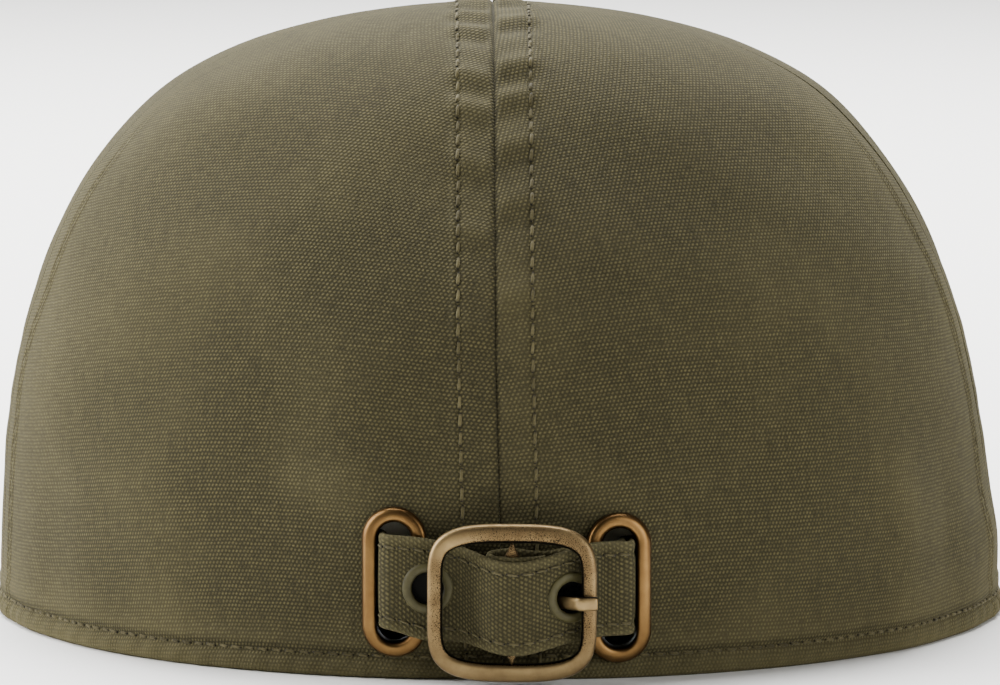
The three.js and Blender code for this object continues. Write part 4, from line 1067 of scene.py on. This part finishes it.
def painted_material(name, barrel_shade_hex, body_hex, worn_hex):
    """Stoved paint on steel: satin, slightly uneven, rubbed lighter along the raised rim, and painted
    nearly black toward the hole and inside the barrel, as painted shade."""
    material, tree = blank_material(name)
    place = add_node(tree, "ShaderNodeTexCoord").outputs["Object"]
    wear_and_shade = add_node(tree, ATTRIBUTE, attribute_name="wear_and_shade").outputs["Fac"]
    cloud = add_node(tree, NOISE, {"Vector": place, "Scale": 900.0, "Detail": 3.0})
    worn = add_node(tree, MATH, {0: cloud, 1: wear_and_shade}, operation="ADD")
    share = add_node(tree, MAP_RANGE, {"Value": worn, "From Min": 0.5, "From Max": 1.4})
    colour = add_node(tree, MIX, {"Factor": share, "A": to_linear(body_hex), "B": to_linear(worn_hex)},
                      data_type="RGBA")
    inside = add_node(tree, MAP_RANGE, {"Value": wear_and_shade, "From Min": -0.35, "From Max": 0.1})
    shown = add_node(tree, MIX, {"Factor": inside, "A": to_linear(barrel_shade_hex), "B": colour}, data_type="RGBA")
    bump = add_node(tree, BUMP, {"Height": cloud, "Strength": 0.2, "Distance": 0.0001})
    paint = add_node(tree, PRINCIPLED, {"Base Color": shown, "Normal": bump, "Roughness": 0.5, "IOR": 1.45,
                                        "Specular IOR Level": 0.25})
    add_node(tree, OUTPUT, {"Surface": paint})
    return material


# The first colour is near-black, for the painted shade toward the holes and inside the barrels.
olive_paint = painted_material("olive_stoved_paint", "#0b0b0a", "#322f19", "#4a4528")
rim_face = np.linspace(0, math.pi, 11)
mid, wide = (EYELET_OUTER + EYELET_INNER) / 2, (EYELET_OUTER - EYELET_INNER) / 2
eyelet_radius = np.concatenate([mid + wide * np.cos(rim_face),
                                [EYELET_INNER, mid + 0.3, mid + 0.3, EYELET_INNER + 0.4, EYELET_INNER + 0.4]])
eyelet_stand = np.concatenate([0.6 + 0.55 * np.sin(rim_face) ** 0.8, [-1.2, -1.2, -0.85, -0.85, 0.6]])
# The face is worn lighter along its crest and a little toward its outer edge; toward the hole it and the
# barrel are painted nearly black as painted shade.
eyelet_wear_and_shade = np.concatenate([0.45 * np.sin(rim_face) + 0.15 * np.cos(rim_face), np.full(5, -0.6)])
holes = []
for side, eyelet_z in zip(("left", "right"), EYELET_HEIGHTS):
    eyelet = round_piece(eyelet_x[side], eyelet_z, eyelet_radius, eyelet_stand)
    tube_piece("strap_grommet_" + side, eyelet, True, olive_paint, ["strap_eyelet_" + side],
               wear_and_shade=np.tile(eyelet_wear_and_shade, len(eyelet)))
    hole = round_piece(eyelet_x[side], eyelet_z, np.full(2, EYELET_INNER + 0.2),
                       np.array([HOLE_BOTTOMS[side], HOLE_TOP]), 40)
    holes.append((hole.transpose(1, 0, 2), tube_faces(2, 40, False)))
punch(long_strap, holes)

# Buckle
# A cast brass frame with bowed ends and round corners. Its centre bar carries the looped strap and
# tapers to a point at each end, and the tongue is bent round it, goes through the right eyelet and
# rests on the side bar. Antique finish: dark in the cast grain, brighter on the worn faces.

BUCKLE_THICK = 2.4
FRAME_SECTIONS = 200
FRAME_AROUND = 28
CENTRE_SECTIONS = 61
CENTRE_RADIUS = 1.3
POINT_RADIUS = 0.1
aged_brass = brass_material("antique_cast_brass", "#14110c", "#645136", "#97815a", 0.38, 0.63, 0.3)


def frame_level(x):
    """The frame's level above the cloth: a straight line between its two side bars."""
    return (LEFT_BAR + RIGHT_BAR) / 2 + (LEFT_BAR - RIGHT_BAR) * (x - BUCKLE_X) / (BUCKLE_WIDTH - SIDE_BAR)


def turns(count):
    """Angles evenly round a section, none of them on an axis."""
    return 2 * math.pi * (np.arange(count) + 0.5) / count


def bar_rings(x, z, out_x, out_z, level, width, thick, around, square):
    """Sections of a cast bar: a superellipse across its width and its thickness."""
    across = width[:, None] / 2 * signed_power(np.cos(turns(around)), square)
    through = thick[:, None] / 2 * signed_power(np.sin(turns(around)), square)
    return on_back(x[:, None] + out_x[:, None] * across, level[:, None] + through,
                   z[:, None] + out_z[:, None] * across)


fine = turns(2000)
fine_x = (BUCKLE_WIDTH - SIDE_BAR) / 2 * signed_power(np.cos(fine), 2 / 3)
fine_z = (BUCKLE_TALL - END_BAR) / 2 * signed_power(np.sin(fine), 1 / 3)
fine_x, fine_z = np.append(fine_x, fine_x[0]), np.append(fine_z, fine_z[0])
around_lengths = path_lengths(np.stack([fine_x, fine_z], -1))
even = np.linspace(0, around_lengths[-1], FRAME_SECTIONS, endpoint=False)
rail_x, rail_z = np.interp(even, around_lengths, fine_x), np.interp(even, around_lengths, fine_z)
step_x, step_z = np.roll(rail_x, -1) - np.roll(rail_x, 1), np.roll(rail_z, -1) - np.roll(rail_z, 1)
out_x, out_z = step_z / np.hypot(step_x, step_z), -step_x / np.hypot(step_x, step_z)
frame_rings = bar_rings(BUCKLE_X + rail_x, BUCKLE_Z + rail_z, out_x, out_z, frame_level(BUCKLE_X + rail_x),
                        SIDE_BAR + (END_BAR - SIDE_BAR) * out_z**2, np.full(FRAME_SECTIONS, BUCKLE_THICK),
                        FRAME_AROUND, 0.68)
to_right, to_top = rail_x / rail_x.max(), rail_z / rail_z.max()
# Lighter along the bottom bar, and a painted highlight at the top bar's corner toward +x.
end_lightening_and_highlight = 0.35 * smooth(0.5, 1, -to_top) + 0.4 * smooth(0.5, 1, to_top) * smooth(0.4, 1, to_right)
round_wear = 0.2 + 0.08 * np.cos(turns(FRAME_AROUND)) - 0.6 * smooth(0.5, 1, -np.cos(turns(FRAME_AROUND)))
tube_piece("buckle_cast_frame", frame_rings, True, aged_brass, ["buckle_frame"],
           wear_and_shade=(end_lightening_and_highlight[:, None] + round_wear).ravel())

half_bar = BUCKLE_TALL / 2 - END_BAR + 0.25
bar_share = np.linspace(-1, 1, CENTRE_SECTIONS)
off_middle = np.abs(bar_share) * half_bar
taper = np.interp(off_middle, [0, half_bar - 2.6, half_bar - 1.9, half_bar],
                  [CENTRE_RADIUS, CENTRE_RADIUS, 0.95, POINT_RADIUS])
bar_rise = (frame_level(BUCKLE_X) + 0.5 - CENTRE_LEVEL) * smooth(half_bar - 4.5, half_bar - 0.8, off_middle)
ones = np.ones(CENTRE_SECTIONS)
bar = bar_rings(BUCKLE_X * ones, BUCKLE_Z + half_bar * bar_share, ones, 0 * ones, CENTRE_LEVEL + bar_rise,
                2 * taper, 2 * taper, 16, 1.0)
tube_piece("buckle_centre_bar", bar, False, aged_brass, wear_and_shade=np.full(bar[..., 0].size, 0.14))

TONGUE_WIDTH = 2.4
TONGUE_THICK = 1.4
TONGUE_Z = EYELET_HEIGHTS[1] - 0.7
hook = CENTRE_RADIUS + 0.2 + TONGUE_THICK / 2
rest = RIGHT_BAR + BUCKLE_THICK / 2 + 0.1 + TONGUE_THICK / 2
bar_end = BUCKLE_X - BUCKLE_WIDTH / 2
tongue_route = np.vstack([round_bar(hook, hook, np.linspace(-0.35, math.pi / 2, 14)), rounded_route([
    (BUCKLE_X, CENTRE_LEVEL + hook),
    (eyelet_x["right"] + EYELET_INNER, OVER_RING + LAYER + 0.5, 1.2),
    (bar_end + SIDE_BAR + 0.1, rest, 1.0),
    (bar_end - 0.1, rest)], 0.35)[1:]])
tongue_turn = turns(20)
tip_size = np.ones((len(tongue_route), 1))
tip_size[-2:, 0] = [0.97, 0.86]
through = tip_size * TONGUE_THICK / 2 * signed_power(np.sin(tongue_turn), 0.6)
across = tip_size * TONGUE_WIDTH / 2 * signed_power(np.cos(tongue_turn), 0.6)
tongue = on_back(*beside(tongue_route, through), TONGUE_Z + across)
# The tongue is polished lighter toward one face; the dark strip along its upper edge is painted shade.
tongue_polish_and_shade = 0.75 + 0.2 * np.sin(tongue_turn) - 1.0 * smooth(0.6, 0.95, np.cos(tongue_turn))
tube_piece("buckle_prong", tongue, False, aged_brass, ["buckle_tongue"],
           wear_and_shade=np.tile(tongue_polish_and_shade, len(tongue_route)))

# Floor, light and camera
# A pale studio sweep lit by four soft boxes: one at each side, one above and one low. The camera has a
# long lens and stands behind the cap.

FLOOR_REACH = 8.0
floor_mesh = bpy.data.meshes.new("floor")
corners = [(x * FLOOR_REACH, y * FLOOR_REACH, 0) for x, y in ((-1, -1), (1, -1), (1, 1), (-1, 1))]
floor_mesh.from_pydata(corners, [], [(0, 1, 2, 3)])
paper = bpy.data.materials.new("matt_white_paper")
paper.use_nodes = True
paper_inputs = paper.node_tree.nodes["Principled BSDF"].inputs
paper_inputs["Base Color"].default_value = to_linear("#f4f3f0")
paper_inputs["Roughness"].default_value = 0.9
floor_mesh.materials.append(paper)
place_object("floor", floor_mesh)

world = bpy.data.worlds.new("studio")
world.use_nodes = True
sky = world.node_tree.nodes["Background"].inputs
sky["Color"].default_value = to_linear("#ffffff")
sky["Strength"].default_value = 0.04
bpy.context.scene.world = world

# Each soft box: name, place in metres, side in metres and watts. All are turned to face AIM.
AIM = np.array([0, 0.03, 0.05])
SOFT_BOXES = [
    ("light_left", (1.5, -0.1, 0.75), 1.3, 62),
    ("light_top", (0.1, -0.9, 1.5), 1.4, 148),
    ("light_right", (-1.2, 1.0, 0.8), 1.0, 8),
    ("light_low", (-1.3, 0.9, 0.25), 0.8, 14),
]
for name, box_place, box_side, watts in SOFT_BOXES:
    lamp = bpy.data.lights.new(name, "AREA")
    lamp.shape = "SQUARE"
    lamp.size = box_side
    lamp.energy = watts
    box = place_object(name, lamp)
    box.location = box_place
    facing = AIM - box_place
    box.rotation_euler = (math.atan2(math.hypot(facing[0], facing[1]), -facing[2]), 0,
                          math.atan2(facing[1], facing[0]) - math.pi / 2)

LENS = 305.89
CAMERA_PLACE = [-0.02, 1528.04, 204.54]
CAMERA_DROP_DEGREES = 5.877
camera_data = bpy.data.cameras.new("camera")
camera_data.lens = LENS
camera_data.sensor_width = 36.0
camera_data.clip_start, camera_data.clip_end = 0.05, 30.0
camera = place_object("camera", camera_data)
camera.location = (SHIFT + CAMERA_PLACE) * MM
camera.rotation_euler = (math.radians(90 - CAMERA_DROP_DEGREES), 0, math.pi)
bpy.context.scene.camera = camera
